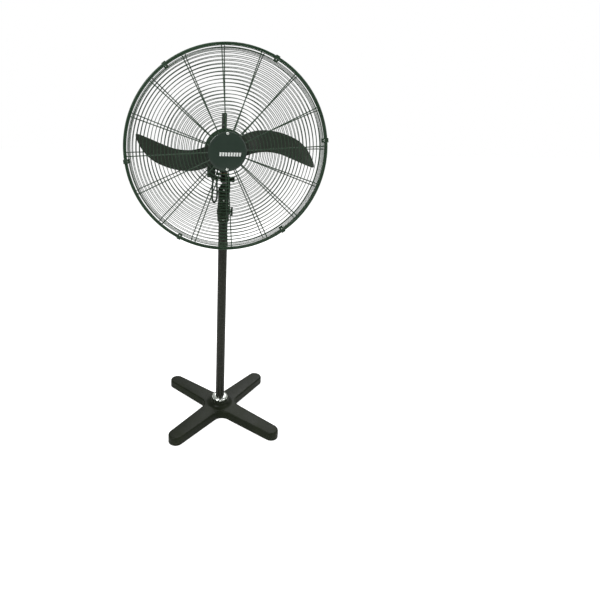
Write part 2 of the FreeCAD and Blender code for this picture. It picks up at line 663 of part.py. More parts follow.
# ---- propeller ---------------------------------------------------------------
# distance from the shaft, upper edge, lower edge, pitch centre
BLADE_STATIONS = [(28, 34, -18, 10), (52, 52, -20, 10), (64, 59, -18, 10), (76, 65, -14, 10),
                  (104, 73, -5, 22), (145, 76, -1, 34), (190, 70, -7, 31), (226, 59, -20, 20),
                  (260, 43, -34, 5), (288, 20, -45, -12), (307, -6, -52, -29), (318, -30, -55, -42),
                  (323, -43, -53, -48)]


def blade_section(x, top, low, centre):
    """A thin pitched strip across the blade at one distance from the shaft."""
    along = min(max((x - 76) / 247, 0), 1)
    slope = math.tan(math.radians(BLADE_ROOT_PITCH + (BLADE_TIP_PITCH - BLADE_ROOT_PITCH) * along))
    curl = 3.5 * min(max((x - 76) / 40, 0), 1)
    front, back = [], []
    for k in range(5):
        part = k / 4
        z = low + (top - low) * part
        y = BLADE_Y + (z - centre) * slope + curl * (4 * (part - 0.5) ** 2 - 1) * (top - low) / 75
        front.append(V(x, y - BLADE_T / 2, HUB_Z + z))
        back.append(V(x, y + BLADE_T / 2, HUB_Z + z))
    lower_curve = Part.BSplineCurve()
    lower_curve.interpolate(front)
    upper_curve = Part.BSplineCurve()
    upper_curve.interpolate(back[::-1])
    edges = [lower_curve.toShape(), Part.LineSegment(front[-1], back[-1]).toShape(),
             upper_curve.toShape(), Part.LineSegment(back[0], front[0]).toShape()]
    return Part.Wire(edges)


def blades():
    """Two curved pressed blades, one the other turned half round."""
    blade = Part.makeLoft([blade_section(*s) for s in BLADE_STATIONS], True, True)
    return [blade, about_shaft(blade, 180)]


def hub_arm():
    """Flat arm behind a blade's root, lying along the blade's pitch."""
    arm = block(0, 70, BLADE_T / 2 + ARM_GAP, BLADE_T / 2 + 4.5, -13, 13)
    arm.rotate(V(0, 0, 0), X, -BLADE_ROOT_PITCH)
    arm.translate(V(0, BLADE_Y, HUB_Z + 10))
    return arm


def blade_hub():
    """Hub sleeve with an arm for each blade."""
    sleeve = rod(22.0, (0, BLADE_Y - 21, HUB_Z), 44, Y)
    body = sleeve.fuse(hub_arm()).fuse(about_shaft(hub_arm(), 180))
    room = blade_room()
    body = body.cut(room).cut(about_shaft(room, 180))
    body = body.fuse(rod(16.0, (0, BLADE_Y - 21, HUB_Z), 44, Y))
    return body.cut(rod(SHAFT_R + SEAT, (0, -200, HUB_Z), 100, Y)).removeSplitter()


def blade_room():
    """Space kept clear in front of an arm for the blade's root."""
    room = block(16, 75, -12, BLADE_T / 2 + ARM_GAP, -40, 60)
    room.rotate(V(0, 0, 0), X, -BLADE_ROOT_PITCH)
    room.translate(V(0, BLADE_Y, HUB_Z + 10))
    return room


def blade_rivets():
    """Two rivets through each blade's root and its arm."""
    rivets = []
    for x in (40.0, 60.0):
        rivet = rod(2.6, (x, -BLADE_T / 2 - 0.1, 0), BLADE_T + 4.4, Y)
        rivet = rivet.fuse(rod(4.5, (x, -BLADE_T / 2 - 2.1, 0), 2.0, Y))
        rivet.rotate(V(0, 0, 0), X, -BLADE_ROOT_PITCH)
        rivet.translate(V(0, BLADE_Y, HUB_Z + 10))
        rivets.append(rivet)
        rivets.append(about_shaft(rivet, 180))
    return rivets


def hub_nut():
    """Nut that holds the hub on the shaft."""
    nut = hexagon(19.0, (0, BLADE_Y - 29.1, HUB_Z), 8, Y)
    return nut.cut(rod(SHAFT_R + SEAT, (0, -200, HUB_Z), 100, Y))


# ---- guards ------------------------------------------------------------------
class Guard:
    """One wire guard; side is -1 in front of the rim plane and +1 behind it."""

    def __init__(self, side, wall_depth, centre_depth, wall_r, inner_r):
        self.side = side
        self.rim = (GUARD_R - RIM_WIRE, RIM_WIRE + 0.2)
        self.start = (self.rim[0] - RIM_WIRE - SPOKE_WIRE - TOUCH, self.rim[1])
        self.corner = (wall_r, wall_depth)
        self.end = (inner_r, centre_depth)

    def at(self, depth):
        """The y of a depth from the rim plane."""
        return GUARD_Y + self.side * depth

    def unit(self, a, b):
        """Direction from a to b in the profile's plane, and the normal that points out of the cage."""
        length = math.hypot(b[0] - a[0], b[1] - a[1])
        along = ((b[0] - a[0]) / length, (b[1] - a[1]) / length)
        return along, (abs(along[1]), abs(along[0]))

    def ring_place(self, a, b, step):
        """A ring's place outside a spoke's straight run, step from a."""
        along, normal = self.unit(a, b)
        out = SPOKE_WIRE + RING_WIRE + TOUCH
        return a[0] + along[0] * step + normal[0] * out, a[1] + along[1] * step + normal[1] * out

    def ring(self, radius, depth, wire):
        """A wire ring about the shaft's axis."""
        return Part.makeTorus(radius, wire, V(0, self.at(depth), HUB_Z), Y)

    def spoke(self, degrees):
        """One spoke: side wall, bend and face."""
        a, c, b = self.start, self.corner, self.end
        back, _ = self.unit(c, a)
        ahead, _ = self.unit(c, b)
        angle = math.acos(back[0] * ahead[0] + back[1] * ahead[1])
        setback = SPOKE_BEND / math.tan(angle / 2)
        enter = (c[0] + back[0] * setback, c[1] + back[1] * setback)
        leave = (c[0] + ahead[0] * setback, c[1] + ahead[1] * setback)
        bisector = (back[0] + ahead[0], back[1] + ahead[1])
        size = math.hypot(*bisector)
        reach = SPOKE_BEND / math.sin(angle / 2) - SPOKE_BEND
        middle = (c[0] + bisector[0] / size * reach, c[1] + bisector[1] / size * reach)
        points = [V(radius, self.at(depth), HUB_Z) for radius, depth in (a, enter, middle, leave, b)]
        path = Part.Wire([Part.LineSegment(points[0], points[1]).toShape(),
                          Part.Arc(points[1], points[2], points[3]).toShape(),
                          Part.LineSegment(points[3], points[4]).toShape()])
        section = Part.Wire(Part.makeCircle(SPOKE_WIRE, points[0], points[1] - points[0]))
        wire = path.makePipeShell([section], True, False)
        return about_shaft(wire, degrees)

    def side_rings(self):
        """The rim wire and the rings on the side wall."""
        rings = [self.ring(self.rim[0], self.rim[1], RIM_WIRE)]
        for step in WALL_RINGS:
            rings.append(self.ring(*self.ring_place(self.start, self.corner, step), RING_WIRE))
        return rings

    def face_rings(self, count):
        """The rings on the guard's face."""
        rings = []
        for k in range(count):
            place = self.ring_place(self.corner, self.end, FACE_START + k * RING_PITCH)
            rings.append(self.ring(*place, RING_WIRE))
        return rings

    def spokes(self, turn):
        """All spokes, evenly spread."""
        return [self.spoke(turn + 360.0 / SPOKES * k) for k in range(SPOKES)]


front_guard = Guard(-1, 44.0, 73.6, 347.0, 58.0)
rear_guard = Guard(1, 38.0, 50.0, 347.0, 73.5)


def front_guard_plate():
    """Ring plate behind the front spokes' inner ends."""
    y = GUARD_Y - front_guard.end[1] + SPOKE_WIRE + 0.92
    plate = tube(BADGE_R - 1.5, 40.0, (0, y, HUB_Z), 2.0, Y)
    for sign in (-1, 1):
        plate = plate.cut(rod(2.05, (0, y - 1, HUB_Z + sign * BADGE_SCREW_R), 6, Y))
    return plate


def rear_guard_plate():
    """Ring plate between the rear spokes and the motor."""
    y = GUARD_Y + rear_guard.end[1] + SPOKE_WIRE + TOUCH
    plate = tube(80.0, 28.0, (0, y, HUB_Z), COVER_FRONT - TOUCH - y, Y)
    for k in range(4):
        hole = rod(2.55, (45, y - 1, HUB_Z), 6, Y)
        plate = plate.cut(about_shaft(hole, 45 + 90 * k))
    return plate


def guard_mount_screws():
    """Screws that hold the rear guard to the motor."""
    y = GUARD_Y + rear_guard.end[1] + SPOKE_WIRE
    first = screw(2.5, 4.8, 2.8, (45, y, HUB_Z), 9.0, Y * -1)
    return [about_shaft(first, 45 + 90 * k) for k in range(4)]


def badge_disc():
    """Domed centre disc over the front spokes' inner ends."""
    back = GUARD_Y - front_guard.end[1] - SPOKE_WIRE - 2 * TOUCH
    depth = back - BADGE_FRONT
    disc = turned([(0, 0), (BADGE_R, 0), (BADGE_R, -2.2), (BADGE_R - 1.2, -3.6), (BADGE_R - 3.5, -4.4),
                   (50, -depth + 1.7), (35, -depth + 0.8), (18, -depth + 0.2), (0, -depth)],
                  (0, back, HUB_Z), Y, X)
    disc = disc.cut(turned([(0, 1), (56, 1), (56, -1.8), (30, -depth + 3), (0, -depth + 2.4)],
                           (0, back, HUB_Z), Y, X))
    for sign in (-1, 1):
        disc = disc.cut(rod(2.05, (0, -240, HUB_Z + sign * BADGE_SCREW_R), 30, Y))
    return disc


def badge_screws():
    """Round-head screws at the disc's top and bottom."""
    return [screw(2.0, 5.0, 3.6, (0, BADGE_FRONT + 2.0, HUB_Z + sign * BADGE_SCREW_R), 12.0, Y * -1)
            for sign in (-1, 1)]


def clip_section(y0, y1, r0, r1):
    """A short stretch of ring between two radii."""
    width = 2.4
    face = Part.makePolygon([V(r0, y0, HUB_Z), V(r1, y0, HUB_Z), V(r1, y1, HUB_Z),
                             V(r0, y1, HUB_Z), V(r0, y0, HUB_Z)])
    piece = Part.Face(face).revolve(V(0, 0, HUB_Z), Y, width)
    return about_shaft(piece, -width / 2)


def guard_clips():
    """Bent clips that hold the two rims together."""
    reach = 2 * RIM_WIRE + 0.6
    inner = CLIP_SCREW_R - 5.0
    clip = clip_section(GUARD_Y - reach, GUARD_Y + reach, GUARD_R + 0.2, GUARD_R + 2.0)
    for side in (-1, 1):
        y0, y1 = sorted((GUARD_Y + side * reach, GUARD_Y + side * (reach + 1.8)))
        clip = clip.fuse(clip_section(y0, y1, inner, GUARD_R + 2.0))
    clip = clip.cut(rod(2.05, (CLIP_SCREW_R, GUARD_Y - 20, HUB_Z), 40, Y)).removeSplitter()
    return [about_shaft(clip, angle) for angle in CLIP_ANGLES]


def clip_screws():
    """One screw through each clip."""
    reach = 2 * RIM_WIRE + 0.6 + 1.8 + TOUCH
    first = screw(2.0, 3.6, 2.2, (CLIP_SCREW_R, GUARD_Y - reach, HUB_Z), 2 * reach + 1.5, Y * -1)
    return [about_shaft(first, angle) for angle in CLIP_ANGLES]


# ---- switch box --------------------------------------------------------------
BOX = (-68.0, -36.0, -80.0, -28.0)
BOX_FLOOR = 1058.5
BOX_TOP = 1118.0
BOX_WALL = 2.2
SPEED_AT = (-52.0, 1082.0)


def switch_box():
    """Sheet box under the motor's left side, open below."""
    x0, x1, y0, y1 = BOX
    outer = block(x0, x1, y0, y1, BOX_FLOOR, BOX_TOP)
    outer = outer.makeFillet(4.0, [e for e in outer.Edges if e.BoundBox.ZLength > 50])
    inner = block(x0 + BOX_WALL, x1 - BOX_WALL, y0 + BOX_WALL, y1 - BOX_WALL, BOX_FLOOR - 1,
                  BOX_TOP - BOX_WALL)
    inner = inner.cut(rod(MOTOR_R + 2.6, (0, -100, HUB_Z), 100, Y))
    box = outer.cut(inner)
    box = box.cut(rod(MOTOR_R + TOUCH, (0, -100, HUB_Z), 100, Y))
    return box.cut(rod(3.3, (SPEED_AT[0], y1 - 4, SPEED_AT[1]), 6, Y))


def switch_box_cover():
    """Floor plate of the switch box."""
    x0, x1, y0, y1 = BOX
    plate = block(x0, x1, y0, y1, BOX_FLOOR - 2, BOX_FLOOR - TOUCH)
    plate = plate.makeFillet(4.0, [e for e in plate.Edges if e.BoundBox.ZLength > 1])
    return plate.cut(rod(GLAND_SHANK_R + TOUCH, (BOX_GLAND[0], BOX_GLAND[1], BOX_FLOOR - 3), 4))


def speed_switch():
    """Rotary switch body behind the box's rear wall."""
    sx, sz = SPEED_AT
    body = block(sx - 11, sx + 11, BOX[3] - 22, BOX[3] - 2.3, sz - 11, sz + 11)
    return body.cut(rod(3.05, (sx, BOX[3] - 12, sz), 20, Y))


def speed_knob():
    """Pointer knob and spindle of the speed switch."""
    sx, sz = SPEED_AT
    y0 = BOX[3] + 0.4
    knob = turned([(0, 0), (11, 0), (10, 7), (0, 7)], (sx, y0, sz), Y, X)
    grip = block(sx - 2.5, sx + 2.5, y0 + 6, y0 + 14, sz - 9.5, sz + 9.5)
    return knob.fuse(grip).fuse(rod(3.0, (sx, y0 - 11, sz), 12, Y)).removeSplitter()


def capacitor():
    """Run capacitor in its moulded case."""
    can = block(-65, -39, -77, -60, 1060.8, 1083)
    return can.makeFillet(2.0, can.Edges)


# ---- write every node --------------------------------------------------------
def write_stand():
    """The base, pole and collar."""
    put("base_casting", base_casting())
    put("foot_pads", *foot_pads())
    put("base_lock_ring", base_lock_ring())
    put("pole_set_screw", pole_set_screw())
    put("outer_pole", outer_pole())
    put("mains_grommet", mains_grommet())
    put("height_collar", height_collar())
    put("collar_bush", collar_bush())
    put("collar_screw", screw(2.5, 4.2, 2.4, (0, -COLLAR_R - 0.1, COLLAR_SCREW_Z), 5.0, Y * -1))
    put("clamp_bar", clamp_bar())


def write_mast():
    """The sliding tube, fork, knob and swivel block."""
    put("inner_pole", tube(MAST_R, MAST_R - 2, (0, 0, 560), 978 - 560))
    put("neck_socket", neck_socket())
    put("neck_screws", *neck_screws())
    put("tilt_bolt", tilt_bolt())
    put("tilt_knob", tilt_knob())
    put("swivel_block", swivel_block())
    put("pivot_bush", pivot_bush())
    put("link_stud", link_stud())
    put("block_gland", gland(BLOCK_GLAND[0], BLOCK_GLAND[1], LUG_Z[0], 5.5))
    put("motor_lead", motor_lead())


def write_drive():
    """The gearbox and what turns in it."""
    put("gearbox_housing", gearbox_housing())
    put("gearbox_cover", gearbox_cover())
    put("pivot_pin", pivot_pin())
    put("pivot_clip", pivot_clip())
    put("worm", worm())
    put("worm_wheel", worm_wheel())
    put("crank_gear", crank_gear())
    put("drive_link", drive_link())
    put("clutch_knob", clutch_knob())


def write_motor():
    """The motor, switch box and propeller."""
    put("motor_shell", motor_shell())
    put("motor_front_cover", motor_front_cover())
    put("motor_rear_cover", motor_rear_cover())
    put("stator_core", stator_core())
    put("stator_windings", *stator_windings())
    put("shaft_bearings", *shaft_bearings())
    put("motor_shaft", motor_shaft())
    put("rotor_core", rotor_core())
    put("blade_hub", blade_hub())
    put("blades", *blades())
    put("blade_rivets", *blade_rivets())
    put("hub_nut", hub_nut())
    put("switch_box", switch_box())
    put("switch_box_cover", switch_box_cover())
    put("capacitor", capacitor())
    put("speed_switch", speed_switch())
    put("speed_knob", speed_knob())
    put("box_gland", gland(BOX_GLAND[0], BOX_GLAND[1], BOX_FLOOR - 2, 3.5))


def write_guards():
    """Both wire guards and the badge."""
    put("rear_guard_side", *rear_guard.side_rings())
    put("rear_guard_face", *rear_guard.face_rings(21))
    put("rear_guard_spokes", *rear_guard.spokes(-TURN_REAR))
    put("rear_guard_plate", rear_guard_plate())
    put("guard_mount_screws", *guard_mount_screws())
    put("front_guard_side", *front_guard.side_rings())
    put("front_guard_face", *front_guard.face_rings(22))
    put("front_guard_spokes", *front_guard.spokes(-TURN_FRONT))
    put("front_guard_plate", front_guard_plate())
    put("badge_disc", badge_disc())
    put("badge_screws", *badge_screws())
    put("guard_clips", *guard_clips())
    put("clip_screws", *clip_screws())


write_stand()
write_mast()
write_drive()
write_motor()
write_guards()
print("nodes", len(os.listdir("parts")))
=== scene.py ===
# %% [markdown]
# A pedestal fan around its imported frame. Every piece below is made in metres, in the frame's own
# place, so nothing is fitted afterwards. The frame's boxes give the places that pieces start from.

# %% Load the frame
import math
import bpy
from mathutils import Matrix, Vector


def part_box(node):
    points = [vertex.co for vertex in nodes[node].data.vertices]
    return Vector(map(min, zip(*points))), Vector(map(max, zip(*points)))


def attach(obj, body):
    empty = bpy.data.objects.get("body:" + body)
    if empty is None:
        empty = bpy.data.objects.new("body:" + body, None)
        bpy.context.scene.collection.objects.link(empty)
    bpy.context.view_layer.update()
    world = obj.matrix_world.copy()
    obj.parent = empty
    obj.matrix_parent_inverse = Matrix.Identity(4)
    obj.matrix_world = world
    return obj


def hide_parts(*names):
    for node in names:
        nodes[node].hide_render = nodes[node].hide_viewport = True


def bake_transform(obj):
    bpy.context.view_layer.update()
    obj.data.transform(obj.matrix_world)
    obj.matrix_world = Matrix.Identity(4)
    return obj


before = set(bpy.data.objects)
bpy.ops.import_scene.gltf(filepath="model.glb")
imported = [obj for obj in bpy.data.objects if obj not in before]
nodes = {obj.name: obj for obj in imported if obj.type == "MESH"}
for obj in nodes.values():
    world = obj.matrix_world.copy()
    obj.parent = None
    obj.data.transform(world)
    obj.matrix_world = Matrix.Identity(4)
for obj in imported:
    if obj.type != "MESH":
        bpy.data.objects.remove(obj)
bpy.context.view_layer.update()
MM = 0.001

rim_low, rim_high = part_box("front_guard_side")
HUB_Z = (rim_low[2] + rim_high[2]) / 2
GUARD_R = (rim_high[0] - rim_low[0]) / 2
GUARD_Y = rim_high[1] + 0.2 * MM
HUB = Vector((0, GUARD_Y, HUB_Z))
SHAFT = Vector((0, 1, 0))
print("hub height %.3f, guard radius %.4f, rim plane %.4f" % (HUB_Z, GUARD_R, GUARD_Y))

# %% [markdown]
# The camera stands in front, a little above the hub, and looks slightly down. A view shift keeps
# the fan left of the middle and high in the frame, as a cropped print does, without turning the
# camera and leaning the pole.

# %% Camera
EYE = Vector((-75.2, -1676.0, 1209.5)) * MM
HEADING = math.radians(-2.85)
LOOK_DOWN = math.radians(11.97)
LEAN = math.radians(-1.12)

look = Matrix.Rotation(HEADING, 3, "Z") @ Matrix.Rotation(-LOOK_DOWN, 3, "X")
look = look @ Matrix.Rotation(LEAN, 3, "Y")
right, ahead, up = look.col[0], look.col[1], look.col[2]
camera_data = bpy.data.cameras.new("camera")
camera_data.lens = 24.92
camera_data.sensor_width = 36.0
camera_data.shift_x = 0.125
camera_data.shift_y = -0.125
camera = bpy.data.objects.new("camera", camera_data)
bpy.context.scene.collection.objects.link(camera)
pose = Matrix((right, up, -ahead)).transposed().to_4x4()
camera.matrix_world = Matrix.Translation(EYE) @ pose
bpy.context.scene.camera = camera


# %% [markdown]
# Small helpers do what a modeller's hands do: put everything down, pick one thing up, apply a
# modifier, and set a finished piece's place into its mesh.

# %% Helpers for objects
def put_down():
    """Nothing is selected and nothing is being edited."""
    if bpy.context.object and bpy.context.object.mode != "OBJECT":
        bpy.ops.object.mode_set(mode="OBJECT")
    for thing in list(bpy.context.selected_objects):
        thing.select_set(False)


def pick_up(*things):
    """Selects these objects; the first is the active one."""
    put_down()
    for thing in things:
        thing.select_set(True)
    bpy.context.view_layer.objects.active = things[0]


def settle(thing, name):
    """Names a piece and puts its place, turn and size into its mesh."""
    pick_up(thing)
    bpy.ops.object.transform_apply(location=True, rotation=True, scale=True)
    thing.name = name
    thing.data.name = name
    return thing


def modify(thing, kind, **settings):
    """Adds a modifier with these settings and applies it."""
    pick_up(thing)
    modifier = thing.modifiers.new(kind.lower(), kind)
    for key, value in settings.items():
        setattr(modifier, key, value)
    bpy.ops.object.modifier_apply(modifier=modifier.name)
    return thing


def join(name, things):
    """Joins meshes into one piece."""
    pick_up(*things)
    if len(things) > 1:
        bpy.ops.object.join()
    return settle(bpy.context.object, name)


def smooth(thing, degrees=32.0):
    """Smooth shading, with edges sharper than this angle kept crisp."""
    pick_up(thing)
    bpy.ops.object.shade_smooth_by_angle(angle=math.radians(degrees))
    return thing


def soften(thing, width, segments=2, degrees=35.0):
    """Rounds sharp edges, as moulded and cast edges are."""
    modify(thing, "BEVEL", width=width, segments=segments, limit_method="ANGLE",
           angle_limit=math.radians(degrees), harden_normals=False)
    return smooth(thing, 40.0)


def twin(thing, turn, centre=HUB, axis=SHAFT):
    """A copy with its own mesh, turned about an axis."""
    copy = thing.copy()
    copy.data = thing.data.copy()
    bpy.context.scene.collection.objects.link(copy)
    spin = Matrix.Rotation(turn, 4, axis)
    copy.data.transform(Matrix.Translation(centre) @ spin @ Matrix.Translation(-centre))
    return copy


def around(name, thing, count, start=0.0, centre=HUB, axis=SHAFT):
    """The piece repeated evenly about an axis, as one object."""
    copies = [twin(thing, start + 2 * math.pi * k / count, centre, axis) for k in range(count)]
    bpy.data.objects.remove(thing)
    return join(name, copies)


# %% [markdown]
# Most turned pieces of a fan are lathe work. The helper starts from a circle and extrudes it from
# one radius to the next, the way a turned profile is built by hand, and closes both ends.

# %% Helper for turned pieces
def lathe(name, profile, place, axis="Z", steps=64):
    """A closed turned piece; profile is (radius, distance) pairs in millimetres along the axis."""
    put_down()
    radius, level = profile[0]
    bpy.ops.mesh.primitive_circle_add(vertices=steps, radius=radius * MM, fill_type="NGON",
                                      location=(0, 0, 0), enter_editmode=True)
    bpy.ops.mesh.select_all(action="SELECT")
    bpy.ops.transform.translate(value=(0, 0, level * MM))
    for (before, last), (radius, level) in zip(profile, profile[1:]):
        bpy.ops.mesh.extrude_region_move(TRANSFORM_OT_translate={"value": (0, 0, (level - last) * MM)})
        bpy.ops.transform.resize(value=(radius / before, radius / before, 1),
                                 center_override=(0, 0, level * MM))
    bpy.ops.mesh.select_all(action="SELECT")
    bpy.ops.mesh.remove_doubles(threshold=0.00001)
    bpy.ops.mesh.normals_make_consistent(inside=False)
    bpy.ops.object.mode_set(mode="OBJECT")
    thing = bpy.context.object
    turn = {"Z": (0, 0, 0), "Y": (-math.pi / 2, 0, 0), "-Y": (math.pi / 2, 0, 0),
            "X": (0, math.pi / 2, 0)}[axis]
    thing.rotation_euler = turn
    thing.location = place
    return settle(thing, name)


# %% [markdown]
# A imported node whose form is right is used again: a copy of it is merged, its flat faces are
# dissolved into whole ones and its edges are rounded, and the copy stands for the node.

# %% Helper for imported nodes
def refined(node, width=0.5, segments=2, body=None, name=None):
    """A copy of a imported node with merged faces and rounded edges."""
    copy = nodes[node].copy()
    copy.data = nodes[node].data.copy()
    bpy.context.scene.collection.objects.link(copy)
    pick_up(copy)
    bpy.ops.object.mode_set(mode="EDIT")
    bpy.ops.mesh.select_all(action="SELECT")
    bpy.ops.mesh.remove_doubles(threshold=0.00001)
    bpy.ops.mesh.dissolve_limited(angle_limit=math.radians(2.0))
    bpy.ops.object.mode_set(mode="OBJECT")
    if width:
        modify(copy, "BEVEL", width=width * MM, segments=segments, limit_method="ANGLE",
               angle_limit=math.radians(38), harden_normals=False)
    smooth(copy, 38.0)
    settle(copy, name or node + "_piece")
    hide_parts(node)
    return copy


# %% [markdown]
# Finishes share their small effects. Three node groups are built once: a skin gives paint and
# mouldings their fine grain and uneven sheen, wear brightens edges where paint rubs thin, and
# dust settles on what faces up.

# %% Node groups
def group(name, inputs, outputs):
    """An empty shader group with named sockets."""
    tree = bpy.data.node_groups.new(name, "ShaderNodeTree")
    for label, kind, value in inputs:
        socket = tree.interface.new_socket(label, in_out="INPUT", socket_type="NodeSocket" + kind)
        socket.default_value = value
    for label, kind in outputs:
        tree.interface.new_socket(label, in_out="OUTPUT", socket_type="NodeSocket" + kind)
    return tree, tree.nodes.new("NodeGroupInput"), tree.nodes.new("NodeGroupOutput")


def noise(tree, place, scale, detail=3.0, roughness=0.55):
    """A noise texture fed from a coordinate socket and a scale socket."""
    node = tree.nodes.new("ShaderNodeTexNoise")
    node.inputs["Detail"].default_value = detail
    node.inputs["Roughness"].default_value = roughness
    tree.links.new(place, node.inputs["Vector"])
    tree.links.new(scale, node.inputs["Scale"])
    return node.outputs["Fac"]


def spread(tree, value, low, high, to_low, to_high):
    """A value moved from one range to another; ends may be numbers or sockets."""
    node = tree.nodes.new("ShaderNodeMapRange")
    tree.links.new(value, node.inputs["Value"])
    for key, end in (("From Min", low), ("From Max", high), ("To Min", to_low), ("To Max", to_high)):
        if isinstance(end, bpy.types.NodeSocket):
            tree.links.new(end, node.inputs[key])
        else:
            node.inputs[key].default_value = end
    return node.outputs["Result"]


def times(tree, first, second):
    """The product of two value sockets."""
    node = tree.nodes.new("ShaderNodeMath")
    node.operation = "MULTIPLY"
    tree.links.new(first, node.inputs[0])
    tree.links.new(second, node.inputs[1])
    return node.outputs[0]


def blend_colour(tree, share, first, second):
    """A mix of two colour sockets."""
    node = tree.nodes.new("ShaderNodeMix")
    node.data_type = "RGBA"
    tree.links.new(share, node.inputs[0])
    tree.links.new(first, node.inputs[6])
    tree.links.new(second, node.inputs[7])
    return node.outputs[2]


def make_skin():
    """Cloudy colour, uneven gloss and a fine grain in height."""
    tree, given, made = group(
        "skin", [("Colour", "Color", (0.02, 0.02, 0.02, 1)), ("Clouded", "Color", (0.04, 0.04, 0.04, 1)),
                 ("Gloss", "Float", 0.35), ("Unevenness", "Float", 0.12),
                 ("Cloud Scale", "Float", 9.0), ("Grain Scale", "Float", 900.0)],
        [("Colour", "Color"), ("Roughness", "Float"), ("Height", "Float")])
    place = tree.nodes.new("ShaderNodeTexCoord").outputs["Object"]
    cloud = noise(tree, place, given.outputs["Cloud Scale"], 4.0)
    share = spread(tree, cloud, 0.35, 0.7, 0.0, 1.0)
    tree.links.new(blend_colour(tree, share, given.outputs["Colour"], given.outputs["Clouded"]),
                   made.inputs["Colour"])
    total = tree.nodes.new("ShaderNodeMath")
    tree.links.new(given.outputs["Gloss"], total.inputs[0])
    tree.links.new(given.outputs["Unevenness"], total.inputs[1])
    tree.links.new(spread(tree, cloud, 0.3, 0.75, given.outputs["Gloss"], total.outputs[0]),
                   made.inputs["Roughness"])
    tree.links.new(noise(tree, place, given.outputs["Grain Scale"], 2.0), made.inputs["Height"])
    return tree


def make_wear():
    """Paint rubbed towards a lighter colour along edges, broken up by noise."""
    tree, given, made = group(
        "edge_wear", [("Colour", "Color", (0.02, 0.02, 0.02, 1)), ("Rubbed", "Color", (0.2, 0.2, 0.2, 1)),
                      ("Amount", "Float", 0.5)], [("Colour", "Color"), ("Mask", "Float")])
    place = tree.nodes.new("ShaderNodeTexCoord").outputs["Object"]
    edge = tree.nodes.new("ShaderNodeNewGeometry").outputs["Pointiness"]
    sharp = spread(tree, edge, 0.53, 0.62, 0.0, 1.0)
    scale = tree.nodes.new("ShaderNodeValue")
    scale.outputs[0].default_value = 160.0
    broken = spread(tree, noise(tree, place, scale.outputs[0], 5.0), 0.42, 0.62, 0.0, 1.0)
    amount = times(tree, times(tree, sharp, broken), given.outputs["Amount"])
    tree.links.new(blend_colour(tree, amount, given.outputs["Colour"], given.outputs["Rubbed"]),
                   made.inputs["Colour"])
    tree.links.new(amount, made.inputs["Mask"])
    return tree


def make_dust():
    """A pale film on faces that look up, in patches."""
    tree, given, made = group(
        "dust", [("Colour", "Color", (0.02, 0.02, 0.02, 1)), ("Dust", "Color", (0.3, 0.29, 0.26, 1)),
                 ("Amount", "Float", 0.1)], [("Colour", "Color"), ("Mask", "Float")])
    place = tree.nodes.new("ShaderNodeTexCoord").outputs["Object"]
    normal = tree.nodes.new("ShaderNodeNewGeometry").outputs["Normal"]
    parts = tree.nodes.new("ShaderNodeSeparateXYZ")
    tree.links.new(normal, parts.inputs[0])
    upward = spread(tree, parts.outputs["Z"], 0.4, 1.0, 0.0, 1.0)
    scale = tree.nodes.new("ShaderNodeValue")
    scale.outputs[0].default_value = 30.0
    patchy = spread(tree, noise(tree, place, scale.outputs[0], 6.0), 0.35, 0.7, 0.2, 1.0)
    amount = times(tree, times(tree, upward, patchy), given.outputs["Amount"])
    tree.links.new(blend_colour(tree, amount, given.outputs["Colour"], given.outputs["Dust"]),
                   made.inputs["Colour"])
    tree.links.new(amount, made.inputs["Mask"])
    return tree


SKIN, WEAR, DUST = make_skin(), make_wear(), make_dust()
print("node groups:", [g.name for g in bpy.data.node_groups])


# %% [markdown]
# A finish is a Principled shader with the groups in front of it. Paint, moulding, rubber and bare
# metal differ only in the values that go in, so one builder serves them all.

# %% Finish builder
def finish(name, colour, clouded, gloss, uneven=0.1, metal=0.0, coat=0.0, rubbed=None, wear=0.0,
           dust=0.0, cloud_scale=9.0, grain_scale=900.0, grain=0.04, grain_depth=0.0002, specular=0.5):
    """A material with cloud, grain, edge wear and dust."""
    material = bpy.data.materials.new(name)
    material.use_nodes = True
    tree = material.node_tree
    shader = tree.nodes["Principled BSDF"]
    shader.inputs["Metallic"].default_value = metal
    shader.inputs["Coat Weight"].default_value = coat
    shader.inputs["Coat Roughness"].default_value = 0.12
    shader.inputs["Specular IOR Level"].default_value = specular
    skin = tree.nodes.new("ShaderNodeGroup")
    skin.node_tree = SKIN
    skin.inputs["Colour"].default_value = (*colour, 1)
    skin.inputs["Clouded"].default_value = (*clouded, 1)
    skin.inputs["Gloss"].default_value = gloss
    skin.inputs["Unevenness"].default_value = uneven
    skin.inputs["Cloud Scale"].default_value = cloud_scale
    skin.inputs["Grain Scale"].default_value = grain_scale
    last = skin.outputs["Colour"]
    if wear:
        worn = tree.nodes.new("ShaderNodeGroup")
        worn.node_tree = WEAR
        worn.inputs["Rubbed"].default_value = (*(rubbed or (0.2, 0.2, 0.2)), 1)
        worn.inputs["Amount"].default_value = wear
        tree.links.new(last, worn.inputs["Colour"])
        last = worn.outputs["Colour"]
    if dust:
        dusty = tree.nodes.new("ShaderNodeGroup")
        dusty.node_tree = DUST
        dusty.inputs["Amount"].default_value = dust
        tree.links.new(last, dusty.inputs["Colour"])
        last = dusty.outputs["Colour"]
    tree.links.new(last, shader.inputs["Base Color"])
    tree.links.new(skin.outputs["Roughness"], shader.inputs["Roughness"])
    bump = tree.nodes.new("ShaderNodeBump")
    bump.inputs["Strength"].default_value = grain
    bump.inputs["Distance"].default_value = grain_depth
    tree.links.new(skin.outputs["Height"], bump.inputs["Height"])
    tree.links.new(bump.outputs["Normal"], shader.inputs["Normal"])
    return material


